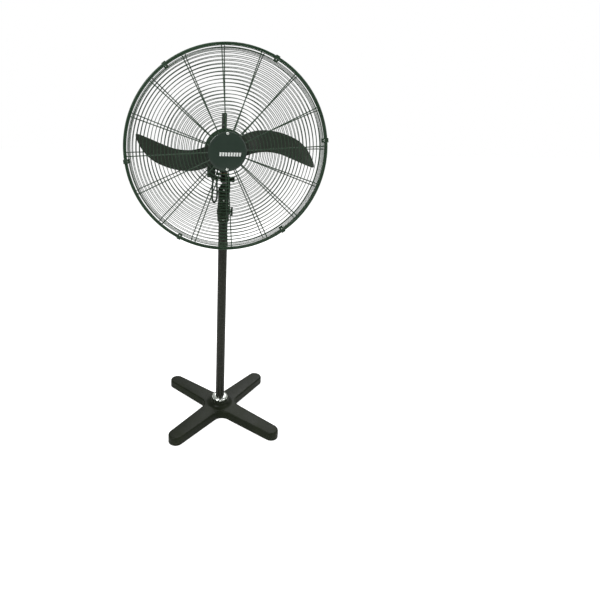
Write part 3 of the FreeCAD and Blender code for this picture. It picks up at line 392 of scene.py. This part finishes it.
# %% Finishes
guard_paint = finish("guard_paint", (0.012, 0.034, 0.015), (0.02, 0.05, 0.024), 0.36, 0.12, specular=0.28,
                     wear=0.25, rubbed=(0.07, 0.09, 0.075), dust=0.03, grain=0.1, grain_scale=700)
blade_paint = finish("blade_paint", (0.016, 0.022, 0.014), (0.025, 0.036, 0.026), 0.42, 0.14, specular=0.25,
                     wear=0.35, rubbed=(0.1, 0.11, 0.1), dust=0.03, grain=0.12, grain_scale=520)
motor_paint = finish("motor_paint", (0.015, 0.022, 0.015), (0.024, 0.033, 0.024), 0.42, 0.12, specular=0.28,
                     wear=0.4, rubbed=(0.1, 0.11, 0.1), dust=0.05, grain=0.2, grain_scale=450)
pole_paint = finish("pole_paint", (0.004, 0.0055, 0.002), (0.008, 0.0095, 0.004), 0.26, 0.08, specular=0.24,
                    wear=0.2, rubbed=(0.08, 0.08, 0.07), dust=0.01, grain=0.08, grain_scale=650,
                    cloud_scale=6)
cast_paint = finish("cast_paint", (0.003, 0.006, 0.001), (0.009, 0.013, 0.004), 0.38, 0.16, specular=0.15,
                    wear=0.45, rubbed=(0.09, 0.1, 0.08), dust=0.015, grain=0.5, grain_scale=330,
                    grain_depth=0.0006, cloud_scale=14)
badge_plastic = finish("badge_plastic", (0.01, 0.022, 0.014), (0.016, 0.03, 0.02), 0.24, 0.06, specular=0.42,
                       grain=0.1, grain_scale=800, dust=0.01)
black_plastic = finish("black_plastic", (0.014, 0.017, 0.013), (0.022, 0.026, 0.02), 0.45, 0.12,
                       grain=0.25, grain_scale=900, wear=0.15, rubbed=(0.07, 0.07, 0.07), specular=0.3)
rubber = finish("rubber", (0.012, 0.012, 0.011), (0.02, 0.02, 0.018), 0.72, 0.12, grain=0.3, dust=0.08,
                specular=0.3)
lead_sheath = finish("lead_sheath", (0.012, 0.014, 0.012), (0.02, 0.022, 0.019), 0.42, 0.1, grain=0.1,
                     specular=0.3)
chrome = finish("chrome", (0.82, 0.86, 0.8), (0.64, 0.68, 0.62), 0.1, 0.12, metal=1.0, grain=0.05,
                cloud_scale=40)
bright_zinc = finish("bright_zinc", (0.74, 0.77, 0.73), (0.55, 0.58, 0.54), 0.26, 0.16, metal=1.0,
                     grain=0.15, grain_scale=1200, cloud_scale=120)
ground_steel = finish("ground_steel", (0.5, 0.51, 0.52), (0.4, 0.4, 0.42), 0.28, 0.12, metal=1.0,
                      grain=0.2, grain_scale=1500, cloud_scale=60)
core_steel = finish("core_steel", (0.22, 0.22, 0.23), (0.13, 0.12, 0.12), 0.45, 0.15, metal=1.0,
                    grain=0.3, grain_scale=600)
copper = finish("copper", (0.62, 0.25, 0.09), (0.45, 0.15, 0.05), 0.3, 0.15, metal=1.0, coat=0.5,
                grain=0.5, grain_scale=500)
bronze = finish("bronze", (0.55, 0.36, 0.16), (0.42, 0.26, 0.1), 0.35, 0.15, metal=1.0, grain=0.2)
silver_mark = finish("silver_mark", (0.8, 0.83, 0.8), (0.66, 0.69, 0.66), 0.34, 0.1, metal=0.6,
                     grain=0.1, cloud_scale=80)


def coat_with(thing, material):
    """Gives the piece this one finish."""
    thing.data.materials.clear()
    thing.data.materials.append(material)
    return thing


def placed(thing, material, body, slot, *stands_for):
    """Finishes a piece: its material, its body and the nodes that it stands for; slot is not used."""
    coat_with(thing, material)
    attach(thing, body)
    if stands_for:
        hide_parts(*stands_for)
    return thing


# %% [markdown]
# The lead from the switch box hangs in a limp U under the motor and goes into the swivel block.
# It crosses the swing joint; it is one mesh tube from head to block. Its line is
# a NURBS curve through listed points, the same ones as the imported tube's.

# %% Motor lead
LEAD_R = 3.5 * MM
BOX_GLAND = Vector((-46.0, -62.0, 0)) * MM
BLOCK_GLAND = Vector((-29.0, -24.0, 0)) * MM
LEAD_ACROSS = [(0.0, 1046.5), (-0.3, 1026.5), (-2.6, 1007.0), (-4.2, 988.5), (-3.0, 969.2),
               (11.2, 955.0), (31.3, 955.0), (45.5, 969.2), (46.8, 988.5), (45.2, 1006.5),
               (42.5, 1021.5), (41.6, 1036.0)]
across = (BLOCK_GLAND - BOX_GLAND).normalized()
lead_points = [BOX_GLAND + across * (s * MM) + Vector((0, 0, z * MM)) for s, z in LEAD_ACROSS]


def nurbs_line(name, points):
    """A smooth open curve controlled by these points."""
    curve = bpy.data.curves.new(name, "CURVE")
    curve.dimensions = "3D"
    curve.resolution_u = 10
    spline = curve.splines.new("NURBS")
    spline.points.add(len(points) - 1)
    for point, place in zip(spline.points, points):
        point.co = (*place, 1)
    spline.order_u = 3
    spline.use_endpoint_u = True
    line = bpy.data.objects.new(name, curve)
    bpy.context.scene.collection.objects.link(line)
    return line


def read_line(line):
    """The points of a curve that has no bevel."""
    bpy.context.view_layer.update()
    mesh = bpy.data.meshes.new_from_object(line)
    points = [v.co.copy() for v in mesh.vertices]
    bpy.data.meshes.remove(mesh)
    return points


def tube_along(name, line, radius, sides=4):
    """A closed mesh tube along a curve."""
    line.data.bevel_depth = radius
    line.data.bevel_resolution = sides
    line.data.use_fill_caps = True
    pick_up(line)
    bpy.ops.object.convert(target="MESH")
    tube = bpy.context.object
    bpy.ops.object.mode_set(mode="EDIT")
    bpy.ops.mesh.select_all(action="SELECT")
    bpy.ops.mesh.remove_doubles(threshold=0.000005)
    bpy.ops.mesh.normals_make_consistent(inside=False)
    bpy.ops.object.mode_set(mode="OBJECT")
    return smooth(settle(tube, name), 40.0)


lead_line = nurbs_line("lead_line", lead_points)
lead_path = read_line(lead_line)
lead = tube_along("motor_lead_piece", lead_line, LEAD_R)
coat_with(lead, lead_sheath)
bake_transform(lead)
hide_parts("motor_lead")

# %% [markdown]
# A guard is welded wire. Its rings are drawn as one section, every wire a small circle at its
# radius and depth, and that section is spun once about the shaft. A spoke is one bent wire that
# runs up the side wall, over the bend and in to the centre plate.

# %% Guard wires
RIM_WIRE, RING_WIRE, SPOKE_WIRE = 5.0 * MM, 1.2 * MM, 1.9 * MM
RING_PITCH = 12.6 * MM
RIM_DEPTH = 5.2 * MM
WALL_RINGS = (11.0, 17.5, 24.0, 30.5)
FACE_START = 5.0
WELD_GAP = 0.05 * MM
SPOKES, SPOKE_BEND = 16, 9.0 * MM
BEAD_R, BEAD_SHAPE = 1.35 * MM, (1.5, 0.75, 1.15)


def outward(a, b):
    """The unit direction from a to b in a guard's section, and the normal that points out."""
    along = (b - a).normalized()
    normal = Vector((-along[1], along[0]))
    return along, normal if normal[1] > 0 else -normal


def ring_places(count, start, corner, end):
    """Radius and depth of each ring wire on the side wall and on the face."""
    reach = SPOKE_WIRE + RING_WIRE + WELD_GAP
    places = []
    along, normal = outward(start, corner)
    for step in WALL_RINGS:
        places.append(start + along * step * MM + normal * reach)
    along, normal = outward(corner, end)
    for k in range(count):
        places.append(corner + along * (FACE_START * MM + k * RING_PITCH) + normal * reach)
    return places


def wire_section(radius, depth, side, wire, sides):
    """One wire's small circle, standing across the direction of the spin."""
    put_down()
    bpy.ops.mesh.primitive_circle_add(vertices=sides, radius=wire,
                                      location=(radius, GUARD_Y + side * depth, HUB_Z))
    return settle(bpy.context.object, "section")


def spun(name, sections, steps=168):
    """Spins sections about the shaft into closed rings."""
    thing = join(name, sections)
    pick_up(thing)
    bpy.ops.object.mode_set(mode="EDIT")
    bpy.ops.mesh.select_all(action="SELECT")
    bpy.ops.mesh.spin(steps=steps, angle=2 * math.pi, center=tuple(HUB), axis=(0, 1, 0))
    bpy.ops.mesh.select_all(action="SELECT")
    bpy.ops.mesh.remove_doubles(threshold=0.00001)
    bpy.ops.mesh.normals_make_consistent(inside=False)
    bpy.ops.object.mode_set(mode="OBJECT")
    return smooth(thing, 60.0)


def bent_spoke(start, corner, end, side):
    """One spoke from the rim to the centre."""
    before = corner + (start - corner).normalized() * SPOKE_BEND
    after = corner + (end - corner).normalized() * SPOKE_BEND
    points = [start, start.lerp(before, 0.5), before, corner, after, after.lerp(end, 0.3),
              after.lerp(end, 0.7), end]
    line = nurbs_line("spoke", [(p[0], GUARD_Y + side * p[1], HUB_Z) for p in points])
    line.data.resolution_u = 4
    return tube_along("spoke", line, SPOKE_WIRE, 2)


def weld_beads(places, side, start, corner, end):
    """A row of small weld beads, one where each ring crosses the spoke."""
    beads = []
    for k, place in enumerate(places):
        put_down()
        a, b = (start, corner) if k < len(WALL_RINGS) else (corner, end)
        _, normal = outward(a, b)
        spot = place - normal * (RING_WIRE + WELD_GAP)
        bpy.ops.mesh.primitive_ico_sphere_add(subdivisions=1, radius=BEAD_R,
                                              location=(spot[0], GUARD_Y + side * spot[1], HUB_Z))
        bead = bpy.context.object
        bead.scale = BEAD_SHAPE
        beads.append(settle(bead, "bead"))
    return join("beads", beads)


def guard(name, side, corner_mm, end_mm, count, turn):
    """The rings, rim, spokes and weld beads of one guard."""
    start = Vector((GUARD_R - 2 * RIM_WIRE - SPOKE_WIRE - WELD_GAP, RIM_DEPTH))
    corner, end = Vector(corner_mm) * MM, Vector(end_mm) * MM
    places = ring_places(count, start, corner, end)
    sections = [wire_section(GUARD_R - RIM_WIRE, RIM_DEPTH, side, RIM_WIRE, 16)]
    sections += [wire_section(p[0], p[1], side, RING_WIRE, 8) for p in places]
    rings = spun(name + "_rings", sections)
    spokes = around(name + "_spokes", bent_spoke(start, corner, end, side), SPOKES, turn)
    beads = around(name + "_welds", weld_beads(places, side, start, corner, end), SPOKES, turn)
    smooth(beads, 60.0)
    print(name, "has", len(places), "ring wires")
    return rings, spokes, beads


front_rings, front_spokes, front_welds = guard("front_guard", -1, (347.0, 44.0), (58.0, 73.6), 22,
                                               math.radians(-4.0))
rear_rings, rear_spokes, rear_welds = guard("rear_guard", 1, (347.0, 38.0), (73.5, 50.0), 21,
                                            math.radians(-2.0))
placed(front_rings, guard_paint, "head", "guard_paint", "front_guard_side", "front_guard_face")
placed(front_spokes, guard_paint, "head", "guard_paint", "front_guard_spokes")
placed(front_welds, guard_paint, "head", "guard_paint")
placed(rear_rings, guard_paint, "head", "guard_paint", "rear_guard_side", "rear_guard_face")
placed(rear_spokes, guard_paint, "head", "guard_paint", "rear_guard_spokes")
placed(rear_welds, guard_paint, "head", "guard_paint")

# %% [markdown]
# The propeller has two curved blades like scimitars. Each is pressed from sheet, pitched more at
# the root than at the tip, and hollowed a little across its width. A grid is laid to the outline,
# given its pitch and hollow, thickened and rounded.

# %% Blades
BLADE_Y = -155.0 * MM
BLADE_T = 2.2 * MM
BLADE_ROOT, BLADE_TIP, BLADE_OPEN = 28, 323, 76
ROOT_PITCH, TIP_PITCH = 28, 17
HOLLOW = 3.5
# distance from the shaft, upper edge, lower edge, pitch centre
STATIONS = [(28, 34, -18, 10), (52, 52, -20, 10), (64, 59, -18, 10), (76, 65, -14, 10),
            (104, 73, -5, 22), (145, 76, -1, 34), (190, 70, -7, 31), (226, 59, -20, 20),
            (260, 43, -34, 5), (288, 20, -45, -12), (307, -6, -52, -29), (318, -30, -55, -42),
            (323, -43, -53, -48)]


def through(x, column):
    """A smooth value between the stations."""
    places = [s[0] for s in STATIONS]
    k = max(i for i in range(len(places) - 1) if places[i] <= x or i == 0)
    at = [STATIONS[min(max(k + d, 0), len(places) - 1)] for d in (-1, 0, 1, 2)]
    gap = at[2][0] - at[1][0]
    t = (x - at[1][0]) / gap
    slope_a = (at[2][column] - at[0][column]) / max(at[2][0] - at[0][0], 1) * gap
    slope_b = (at[3][column] - at[1][column]) / max(at[3][0] - at[1][0], 1) * gap
    a, b = at[1][column], at[2][column]
    return ((2 * t ** 3 - 3 * t ** 2 + 1) * a + (t ** 3 - 2 * t ** 2 + t) * slope_a
            + (3 * t ** 2 - 2 * t ** 3) * b + (t ** 3 - t ** 2) * slope_b)


def blade_point(u, v):
    """The place of a point of the blade; u runs out along it and v up across it."""
    x = BLADE_ROOT + (BLADE_TIP - BLADE_ROOT) * (1 - (1 - u) ** 1.35)
    top, low, centre = (through(x, c) for c in (1, 2, 3))
    z = low + (top - low) * v
    out = min(max((x - BLADE_OPEN) / (BLADE_TIP - BLADE_OPEN), 0), 1)
    slope = math.tan(math.radians(ROOT_PITCH + (TIP_PITCH - ROOT_PITCH) * out))
    curl = HOLLOW * min(max((x - BLADE_OPEN) / 40, 0), 1)
    y = (z - centre) * slope + curl * (4 * (v - 0.5) ** 2 - 1) * (top - low) / 75
    return Vector((x * MM, BLADE_Y + y * MM, HUB_Z + z * MM))


def blade():
    """One blade, laid out from a grid."""
    put_down()
    bpy.ops.mesh.primitive_grid_add(x_subdivisions=34, y_subdivisions=12, size=1.0)
    sheet = bpy.context.object
    for vertex in sheet.data.vertices:
        vertex.co = blade_point(vertex.co.x + 0.5, vertex.co.y + 0.5)
    modify(sheet, "SOLIDIFY", thickness=BLADE_T, offset=0.0)
    pick_up(sheet)
    bpy.ops.object.mode_set(mode="EDIT")
    bpy.ops.mesh.select_all(action="SELECT")
    bpy.ops.mesh.normals_make_consistent(inside=False)
    bpy.ops.object.mode_set(mode="OBJECT")
    modify(sheet, "BEVEL", width=0.7 * MM, segments=2, limit_method="ANGLE",
           angle_limit=math.radians(50))
    modify(sheet, "SUBSURF", levels=1, render_levels=1)
    return smooth(sheet, 60.0)


blades = around("propeller_blades", blade(), 2)
placed(blades, blade_paint, "rotor", "blade_paint", "blades")

# %% [markdown]
# The badge is a shallow dome of moulded plastic in the middle of the front guard, held by two
# round-head screws. The maker's lettering is left out: a row of short plain metal strokes stands in
# its place, each set on the dome at its own height.

# %% Badge
badge_low, badge_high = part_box("badge_disc")
BADGE_BACK = badge_high[1]
BADGE_R = (badge_high[0] - badge_low[0]) / 2 / MM
BADGE_DEEP = (badge_high[1] - badge_low[1]) / MM

DOME = [(BADGE_R - 0.5, 0), (BADGE_R, 0.5), (BADGE_R, 2.0), (BADGE_R - 0.5, 2.9), (BADGE_R - 1.6, 3.7),
        (BADGE_R - 3.5, 4.3), (57, BADGE_DEEP - 2.2), (50, BADGE_DEEP - 1.75), (42, BADGE_DEEP - 1.25),
        (34, BADGE_DEEP - 0.8), (26, BADGE_DEEP - 0.45), (18, BADGE_DEEP - 0.2), (9, BADGE_DEEP - 0.05),
        (2, BADGE_DEEP)]
badge = smooth(lathe("badge_dome", DOME, (0, BADGE_BACK, HUB_Z), "-Y", 96), 40)
placed(badge, badge_plastic, "head", "badge_plastic", "badge_disc")


def dome_height(radius):
    """How far the dome stands out at this radius, in millimetres."""
    for (outer, low), (inner, high) in zip(DOME, DOME[1:]):
        if inner <= radius <= outer:
            return low + (high - low) * (outer - radius) / (outer - inner)
    return BADGE_DEEP


def stroke(x, z, wide, high, slant):
    """A short raised metal stroke on the dome."""
    put_down()
    stand = dome_height(math.hypot(x, z)) * MM
    bpy.ops.mesh.primitive_cube_add(size=1.0, location=(x * MM, BADGE_BACK - stand, HUB_Z + z * MM))
    bar = bpy.context.object
    bar.scale = (wide * MM, 1.1 * MM, high * MM)
    bar.rotation_euler = (0, slant, math.asin(x / 400))
    return soften(settle(bar, "stroke"), 0.2 * MM)


STROKES, STROKE_FIRST, STROKE_PITCH = 8, -23.5, 9.6
STROKE_Z, STROKE_WIDE, STROKE_HIGH, STROKE_SLANT = -9.0, 6.6, 12.5, math.radians(7)
strokes = [stroke(STROKE_FIRST + STROKE_PITCH * k, STROKE_Z, STROKE_WIDE, STROKE_HIGH, STROKE_SLANT)
           for k in range(STROKES)]
mark = join("badge_strokes", strokes)
placed(mark, silver_mark, "head", "zinc_steel")
print("the badge has", len(strokes), "plain strokes in place of lettering")


# %% [markdown]
# Small screws are turned domes with a slot across the head. One is made and copied to wherever the
# frame has a screw of its kind, with its shank.

# %% Slotted screws
def slotted_screw(name, head_r, head_h, shank_r, shank, place, axis="-Y"):
    """A pan-head screw with a cross slot, standing on a place."""
    body = lathe(name, [(shank_r, -shank), (shank_r, -0.05), (head_r, 0.0), (head_r, head_h * 0.35),
                        (head_r * 0.88, head_h * 0.75), (head_r * 0.6, head_h * 0.95),
                        (head_r * 0.2, head_h)], place, axis, 24)
    for turn in (0, math.pi / 2):
        put_down()
        bpy.ops.mesh.primitive_cube_add(size=1.0, location=place)
        cutter = bpy.context.object
        deep = head_h * MM
        cutter.scale = (head_r * 1.15 * MM, head_h * 1.1 * MM, head_r * 0.24 * MM)
        cutter.rotation_euler = (0, turn, 0)
        cutter.location = Vector(place) + Vector((0, -deep if axis == "-Y" else deep, 0))
        settle(cutter, "cutter")
        modify(body, "BOOLEAN", operation="DIFFERENCE", object=cutter, solver="EXACT")
        bpy.data.objects.remove(cutter)
    return smooth(body, 35)


badge_screw_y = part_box("badge_screws")[0][1] + 3.6 * MM
badge_screws = [slotted_screw("badge_screw", 5.0, 3.6, 2.0, 11.5, (0, badge_screw_y, HUB_Z + s * 61 * MM))
                for s in (-1, 1)]
placed(join("badge_screw_pair", badge_screws), bright_zinc, "head", "zinc_steel", "badge_screws")

neck_front = [slotted_screw("neck_screw", 4.0, 2.2, 2.0, 5.5, (0, -22.1 * MM, 0.958)),
              slotted_screw("neck_screw", 4.0, 2.2, 2.0, 7.5, (0, -13.6 * MM, 0.999))]
placed(join("neck_screw_pair", neck_front), bright_zinc, "mast", "zinc_steel", "neck_screws")
collar_screw = slotted_screw("collar_screw_piece", 4.2, 2.4, 2.5, 4.6, (0, -24.1 * MM, 0.880))
placed(collar_screw, bright_zinc, "stand", "zinc_steel", "collar_screw")

# %% [markdown]
# The base is one casting: four tapering legs with round ends meet in hollow corners, and a boss
# rises in the middle. It is pulled out of a block, one leg from each side, then the upright edges
# are rounded with bevels, and last the top's rim.

# %% Base casting
LEG_REACH, LEG_END, LEG_ROOT = 275.0 * MM, 30.0 * MM, 40.0 * MM
LEG_LOW, LEG_TOP = 2.5 * MM, 35.4 * MM
BASE_TURN = math.radians(48.0)


def only_faces(mesh, test):
    """Selects just the faces whose centre and normal pass a test."""
    for face in mesh.polygons:
        face.select = test(face.center, face.normal)
    for edge in mesh.edges:
        edge.select = False
    for vertex in mesh.vertices:
        vertex.select = False


def only_edges(thing, test):
    """Selects just the edges whose two ends pass a test, in edge mode, and goes on editing."""
    bpy.ops.mesh.select_mode(type="EDGE")
    bpy.ops.mesh.select_all(action="DESELECT")
    bpy.ops.object.mode_set(mode="OBJECT")
    points = thing.data.vertices
    for edge in thing.data.edges:
        edge.select = test(points[edge.vertices[0]].co, points[edge.vertices[1]].co)
    bpy.ops.object.mode_set(mode="EDIT")


def cast_base():
    """The cross of four legs."""
    put_down()
    bpy.ops.mesh.primitive_cube_add(size=1.0, location=(0, 0, (LEG_LOW + LEG_TOP) / 2))
    cross = bpy.context.object
    cross.scale = (2 * LEG_ROOT, 2 * LEG_ROOT, LEG_TOP - LEG_LOW)
    settle(cross, "base_cross")
    tip = LEG_REACH + LEG_END
    for k in range(4):
        way = Vector((math.cos(k * math.pi / 2), math.sin(k * math.pi / 2), 0))
        only_faces(cross.data, lambda c, n: n.dot(way) > 0.9 and c.dot(way) > 0.9 * LEG_ROOT)
        bpy.ops.object.mode_set(mode="EDIT")
        bpy.ops.mesh.select_mode(type="FACE")
        bpy.ops.mesh.extrude_region_move(TRANSFORM_OT_translate={"value": tuple(way * (tip - LEG_ROOT))})
        narrow = LEG_END / LEG_ROOT
        size = (1 if abs(way.x) > 0.5 else narrow, 1 if abs(way.y) > 0.5 else narrow, 1)
        bpy.ops.transform.resize(value=size, center_override=tuple(way * tip + Vector((0, 0, 0.018))))
        bpy.ops.object.mode_set(mode="OBJECT")
    bpy.ops.object.mode_set(mode="EDIT")
    far = lambda a, b: abs(a.z - b.z) > 0.03 and math.hypot(a.x, a.y) > 0.2
    only_edges(cross, far)
    bpy.ops.mesh.bevel(offset=LEG_END * 0.985, segments=9, affect="EDGES")
    near = lambda a, b: abs(a.z - b.z) > 0.03 and math.hypot(a.x, a.y) < 0.07
    only_edges(cross, near)
    bpy.ops.mesh.bevel(offset=38 * MM, segments=9, affect="EDGES")
    bpy.ops.mesh.select_all(action="SELECT")
    bpy.ops.mesh.remove_doubles(threshold=0.0001)
    bpy.ops.mesh.dissolve_limited(angle_limit=math.radians(0.5))
    rim = lambda a, b: min(a.z, b.z) > LEG_TOP - 0.0001
    only_edges(cross, rim)
    bpy.ops.mesh.bevel(offset=6.0 * MM, segments=4, affect="EDGES")
    bpy.ops.mesh.select_all(action="SELECT")
    bpy.ops.mesh.normals_make_consistent(inside=False)
    bpy.ops.object.mode_set(mode="OBJECT")
    return cross


cross = cast_base()
cross.rotation_euler = (0, 0, BASE_TURN)
settle(cross, "base_cross")
boss_foot = 34.6
boss = lathe("boss", [(60, boss_foot), (56, boss_foot + 1.2), (50, boss_foot + 3.4), (46, boss_foot + 6.4),
                      (43.5, boss_foot + 11), (41.5, 50.6), (40.0, 51.7), (38, 52.0)], (0, 0, 0), "Z", 72)
modify(cross, "BOOLEAN", operation="UNION", object=boss, solver="EXACT")
bpy.data.objects.remove(boss)
smooth(cross, 30)
cross.name = "base_casting_piece"
placed(cross, cast_paint, "stand", "black_casting", "base_casting")
print("base faces:", len(cross.data.polygons))

# %% [markdown]
# The motor's shell is ribbed for cooling and closed by two turned bells. The rear bell has a ring
# of air slots, which are cut with one cutter that is turned from place to place.

# %% Motor
MOTOR_FRONT, MOTOR_REAR, MOTOR_R = -84.0, -8.0, 75.0
TROUGHS = 8
SLOTS, SLOT_AT, SLOT_SIZE, SLOT_ROUND = 20, 0.054, (0.017, 0.006, 0.0042), 1.9 * MM


def ribbed_shell():
    """The shell: ribs and troughs down its length."""
    length = MOTOR_REAR - MOTOR_FRONT
    pitch = (length - 3) / TROUGHS
    profile = [(MOTOR_R - 1, 0.0)]
    for k in range(TROUGHS + 1):
        at = k * pitch
        profile += [(MOTOR_R - 0.4, at + 0.3), (MOTOR_R, at + 0.8), (MOTOR_R, at + 2.2),
                    (MOTOR_R - 0.4, at + 2.7)]
        if k < TROUGHS:
            profile += [(MOTOR_R - 2.4, at + 3.4), (MOTOR_R - 2.4, at + pitch - 0.4)]
    profile.append((MOTOR_R - 1, length))
    return lathe("motor_shell_piece", profile, (0, MOTOR_FRONT * MM, HUB_Z), "Y", 96)


shell = smooth(ribbed_shell(), 50)
placed(shell, motor_paint, "head", "motor_paint", "motor_shell")
front_bell = lathe("motor_front_bell", [(9, 0.2), (20, 0), (22, 0.0), (58, 0.2), (66, 1.6), (71, 4.2),
                                        (74, 7.4), (75, 9), (75, 11.9)], (0, -96 * MM, HUB_Z), "Y", 96)
smooth(front_bell, 35)
placed(front_bell, motor_paint, "head", "motor_paint", "motor_front_cover")
rear_bell = lathe("motor_rear_bell", [(75, 0.05), (75, 3.6), (73.5, 5.6), (70.5, 7.4), (66, 7.9), (40, 7.95),
                                      (39, 7.2), (20, 7.2), (19, 7.95), (9, 7.95)],
                  (0, MOTOR_REAR * MM, HUB_Z), "Y", 96)


def air_slots(bell):
    """Cuts the ring of slots in the rear bell."""
    put_down()
    bpy.ops.mesh.primitive_cube_add(size=1.0, location=(SLOT_AT, 0, HUB_Z))
    cutter = bpy.context.object
    cutter.scale = SLOT_SIZE
    settle(cutter, "cutter")
    modify(cutter, "BEVEL", width=SLOT_ROUND, segments=3)
    slots = around("cutter", cutter, SLOTS, math.pi / SLOTS, Vector((0, 0, HUB_Z)))
    modify(bell, "BOOLEAN", operation="DIFFERENCE", object=slots, solver="EXACT")
    bpy.data.objects.remove(slots)


air_slots(rear_bell)
smooth(rear_bell, 35)
placed(rear_bell, motor_paint, "head", "motor_paint", "motor_rear_cover")

# %% [markdown]
# The rest of the castings, knobs and small hardware keep their packed form. Each gets its own finish
# and its body, and all but the clip and mount screws get rounded edges.

# %% Castings and hardware
REFINED = [
    ("height_collar", 1.2, cast_paint, "stand", "black_casting"),
    ("base_lock_ring", 0.7, chrome, "stand", "chrome"),
    ("foot_pads", 0.6, rubber, "stand", "rubber"),
    ("mains_grommet", 0.5, rubber, "stand", "rubber"),
    ("clamp_bar", 0.4, pole_paint, "clamp", "pole_paint"),
    ("neck_socket", 1.0, cast_paint, "mast", "black_casting"),
    ("tilt_bolt", 0.5, bright_zinc, "mast", "zinc_steel"),
    ("tilt_knob", 0.8, black_plastic, "tilt_hand_knob", "black_plastic"),
    ("swivel_block", 0.6, cast_paint, "swivel", "black_casting"),
    ("link_stud", 0.3, bright_zinc, "swivel", "zinc_steel"),
    ("block_gland", 0.4, black_plastic, "swivel", "black_plastic"),
    ("box_gland", 0.4, black_plastic, "head", "black_plastic"),
    ("gearbox_housing", 1.2, cast_paint, "head", "black_casting"),
    ("gearbox_cover", 0.8, cast_paint, "head", "black_casting"),
    ("switch_box", 0.7, motor_paint, "head", "motor_paint"),
    ("switch_box_cover", 0.5, motor_paint, "head", "motor_paint"),
    ("rear_guard_plate", 0.3, guard_paint, "head", "guard_paint"),
    ("front_guard_plate", 0.3, guard_paint, "head", "guard_paint"),
    ("guard_clips", 0.4, guard_paint, "head", "guard_paint"),
    ("clip_screws", 0.0, bright_zinc, "head", "zinc_steel"),
    ("guard_mount_screws", 0.0, bright_zinc, "head", "zinc_steel"),
    ("clutch_knob", 0.6, black_plastic, "clutch", "black_plastic"),
    ("speed_knob", 0.6, black_plastic, "speed", "black_plastic"),
    ("crank_gear", 0.2, ground_steel, "crank", "bearing_steel"),
    ("drive_link", 0.5, bright_zinc, "link", "zinc_steel"),
    ("blade_hub", 0.6, blade_paint, "rotor", "blade_paint"),
    ("hub_nut", 0.5, bright_zinc, "rotor", "zinc_steel"),
    ("blade_rivets", 0.4, bright_zinc, "rotor", "zinc_steel"),
]
for node, width, material, body, slot in REFINED:
    piece = refined(node, width)
    coat_with(piece, material)
    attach(piece, body)
print("refined", len(REFINED), "nodes")

# %% [markdown]
# Tubes and the sealed inner pieces are shown as packed. They only take their finishes.

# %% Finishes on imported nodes
KEPT = {"outer_pole": pole_paint, "pole_set_screw": bright_zinc, "collar_bush": black_plastic,
        "inner_pole": chrome, "pivot_bush": bronze, "pivot_pin": bright_zinc, "pivot_clip": bright_zinc,
        "stator_core": core_steel, "stator_windings": copper, "shaft_bearings": ground_steel,
        "capacitor": black_plastic, "speed_switch": black_plastic, "motor_shaft": ground_steel,
        "rotor_core": core_steel, "worm": ground_steel, "worm_wheel": black_plastic}
for node, material in KEPT.items():
    coat_with(nodes[node], material)

# %% [markdown]
# The set is a pale paper floor under a white sky, with three large soft lamps. Dark paint only looks
# dark when little is reflected in it, so the sky is white where it is seen directly and dimmer where
# it lights things. The floor glows a little where it is seen directly, and so it stays white as far
# as it runs, with a faint shadow under the base.

# %% Floor and light
SKY_LIGHT, FLOOR_GLOW = 0.42, 0.66


def seen_directly(tree):
    """The share that is one for rays from the eye and nought for light that bounces."""
    return tree.nodes.new("ShaderNodeLightPath").outputs["Is Camera Ray"]


put_down()
bpy.ops.mesh.primitive_plane_add(size=60.0, location=(0, 0, 0))
floor = bpy.context.object
floor.name = "floor"
floor_paper = finish("floor_paper", (0.9, 0.9, 0.89), (0.88, 0.88, 0.88), 0.8, 0.05, cloud_scale=0.6,
                     grain=0.0, specular=0.1)
coat_with(floor, floor_paper)
paper = floor_paper.node_tree
glow = spread(paper, seen_directly(paper), 0.0, 1.0, 0.0, FLOOR_GLOW)
paper.nodes["Principled BSDF"].inputs["Emission Color"].default_value = (1, 1, 1, 1)
paper.links.new(glow, paper.nodes["Principled BSDF"].inputs["Emission Strength"])

world = bpy.data.worlds.new("studio")
world.use_nodes = True
sky = world.node_tree
sky.nodes["Background"].inputs["Color"].default_value = (1, 1, 1, 1)
sky.links.new(spread(sky, seen_directly(sky), 0.0, 1.0, SKY_LIGHT, 1.0),
              sky.nodes["Background"].inputs["Strength"])
bpy.context.scene.world = world
bpy.context.scene.view_settings.view_transform = "Standard"


def soft_lamp(name, place, aim, size, power):
    """A large square lamp that looks at a point."""
    data = bpy.data.lights.new(name, "AREA")
    data.shape = "SQUARE"
    data.size = size
    data.energy = power
    lamp = bpy.data.objects.new(name, data)
    bpy.context.scene.collection.objects.link(lamp)
    lamp.location = place
    lamp.rotation_euler = (Vector(aim) - Vector(place)).to_track_quat("-Z", "Y").to_euler()


soft_lamp("key", (-2.2, -2.6, 3.2), (0, 0, 0.8), 1.8, 110)
soft_lamp("fill", (2.8, -1.8, 2.2), (0, 0, 0.9), 2.2, 45)
soft_lamp("back", (0.6, 2.8, 3.0), (0, 0, 0.9), 2.0, 60)
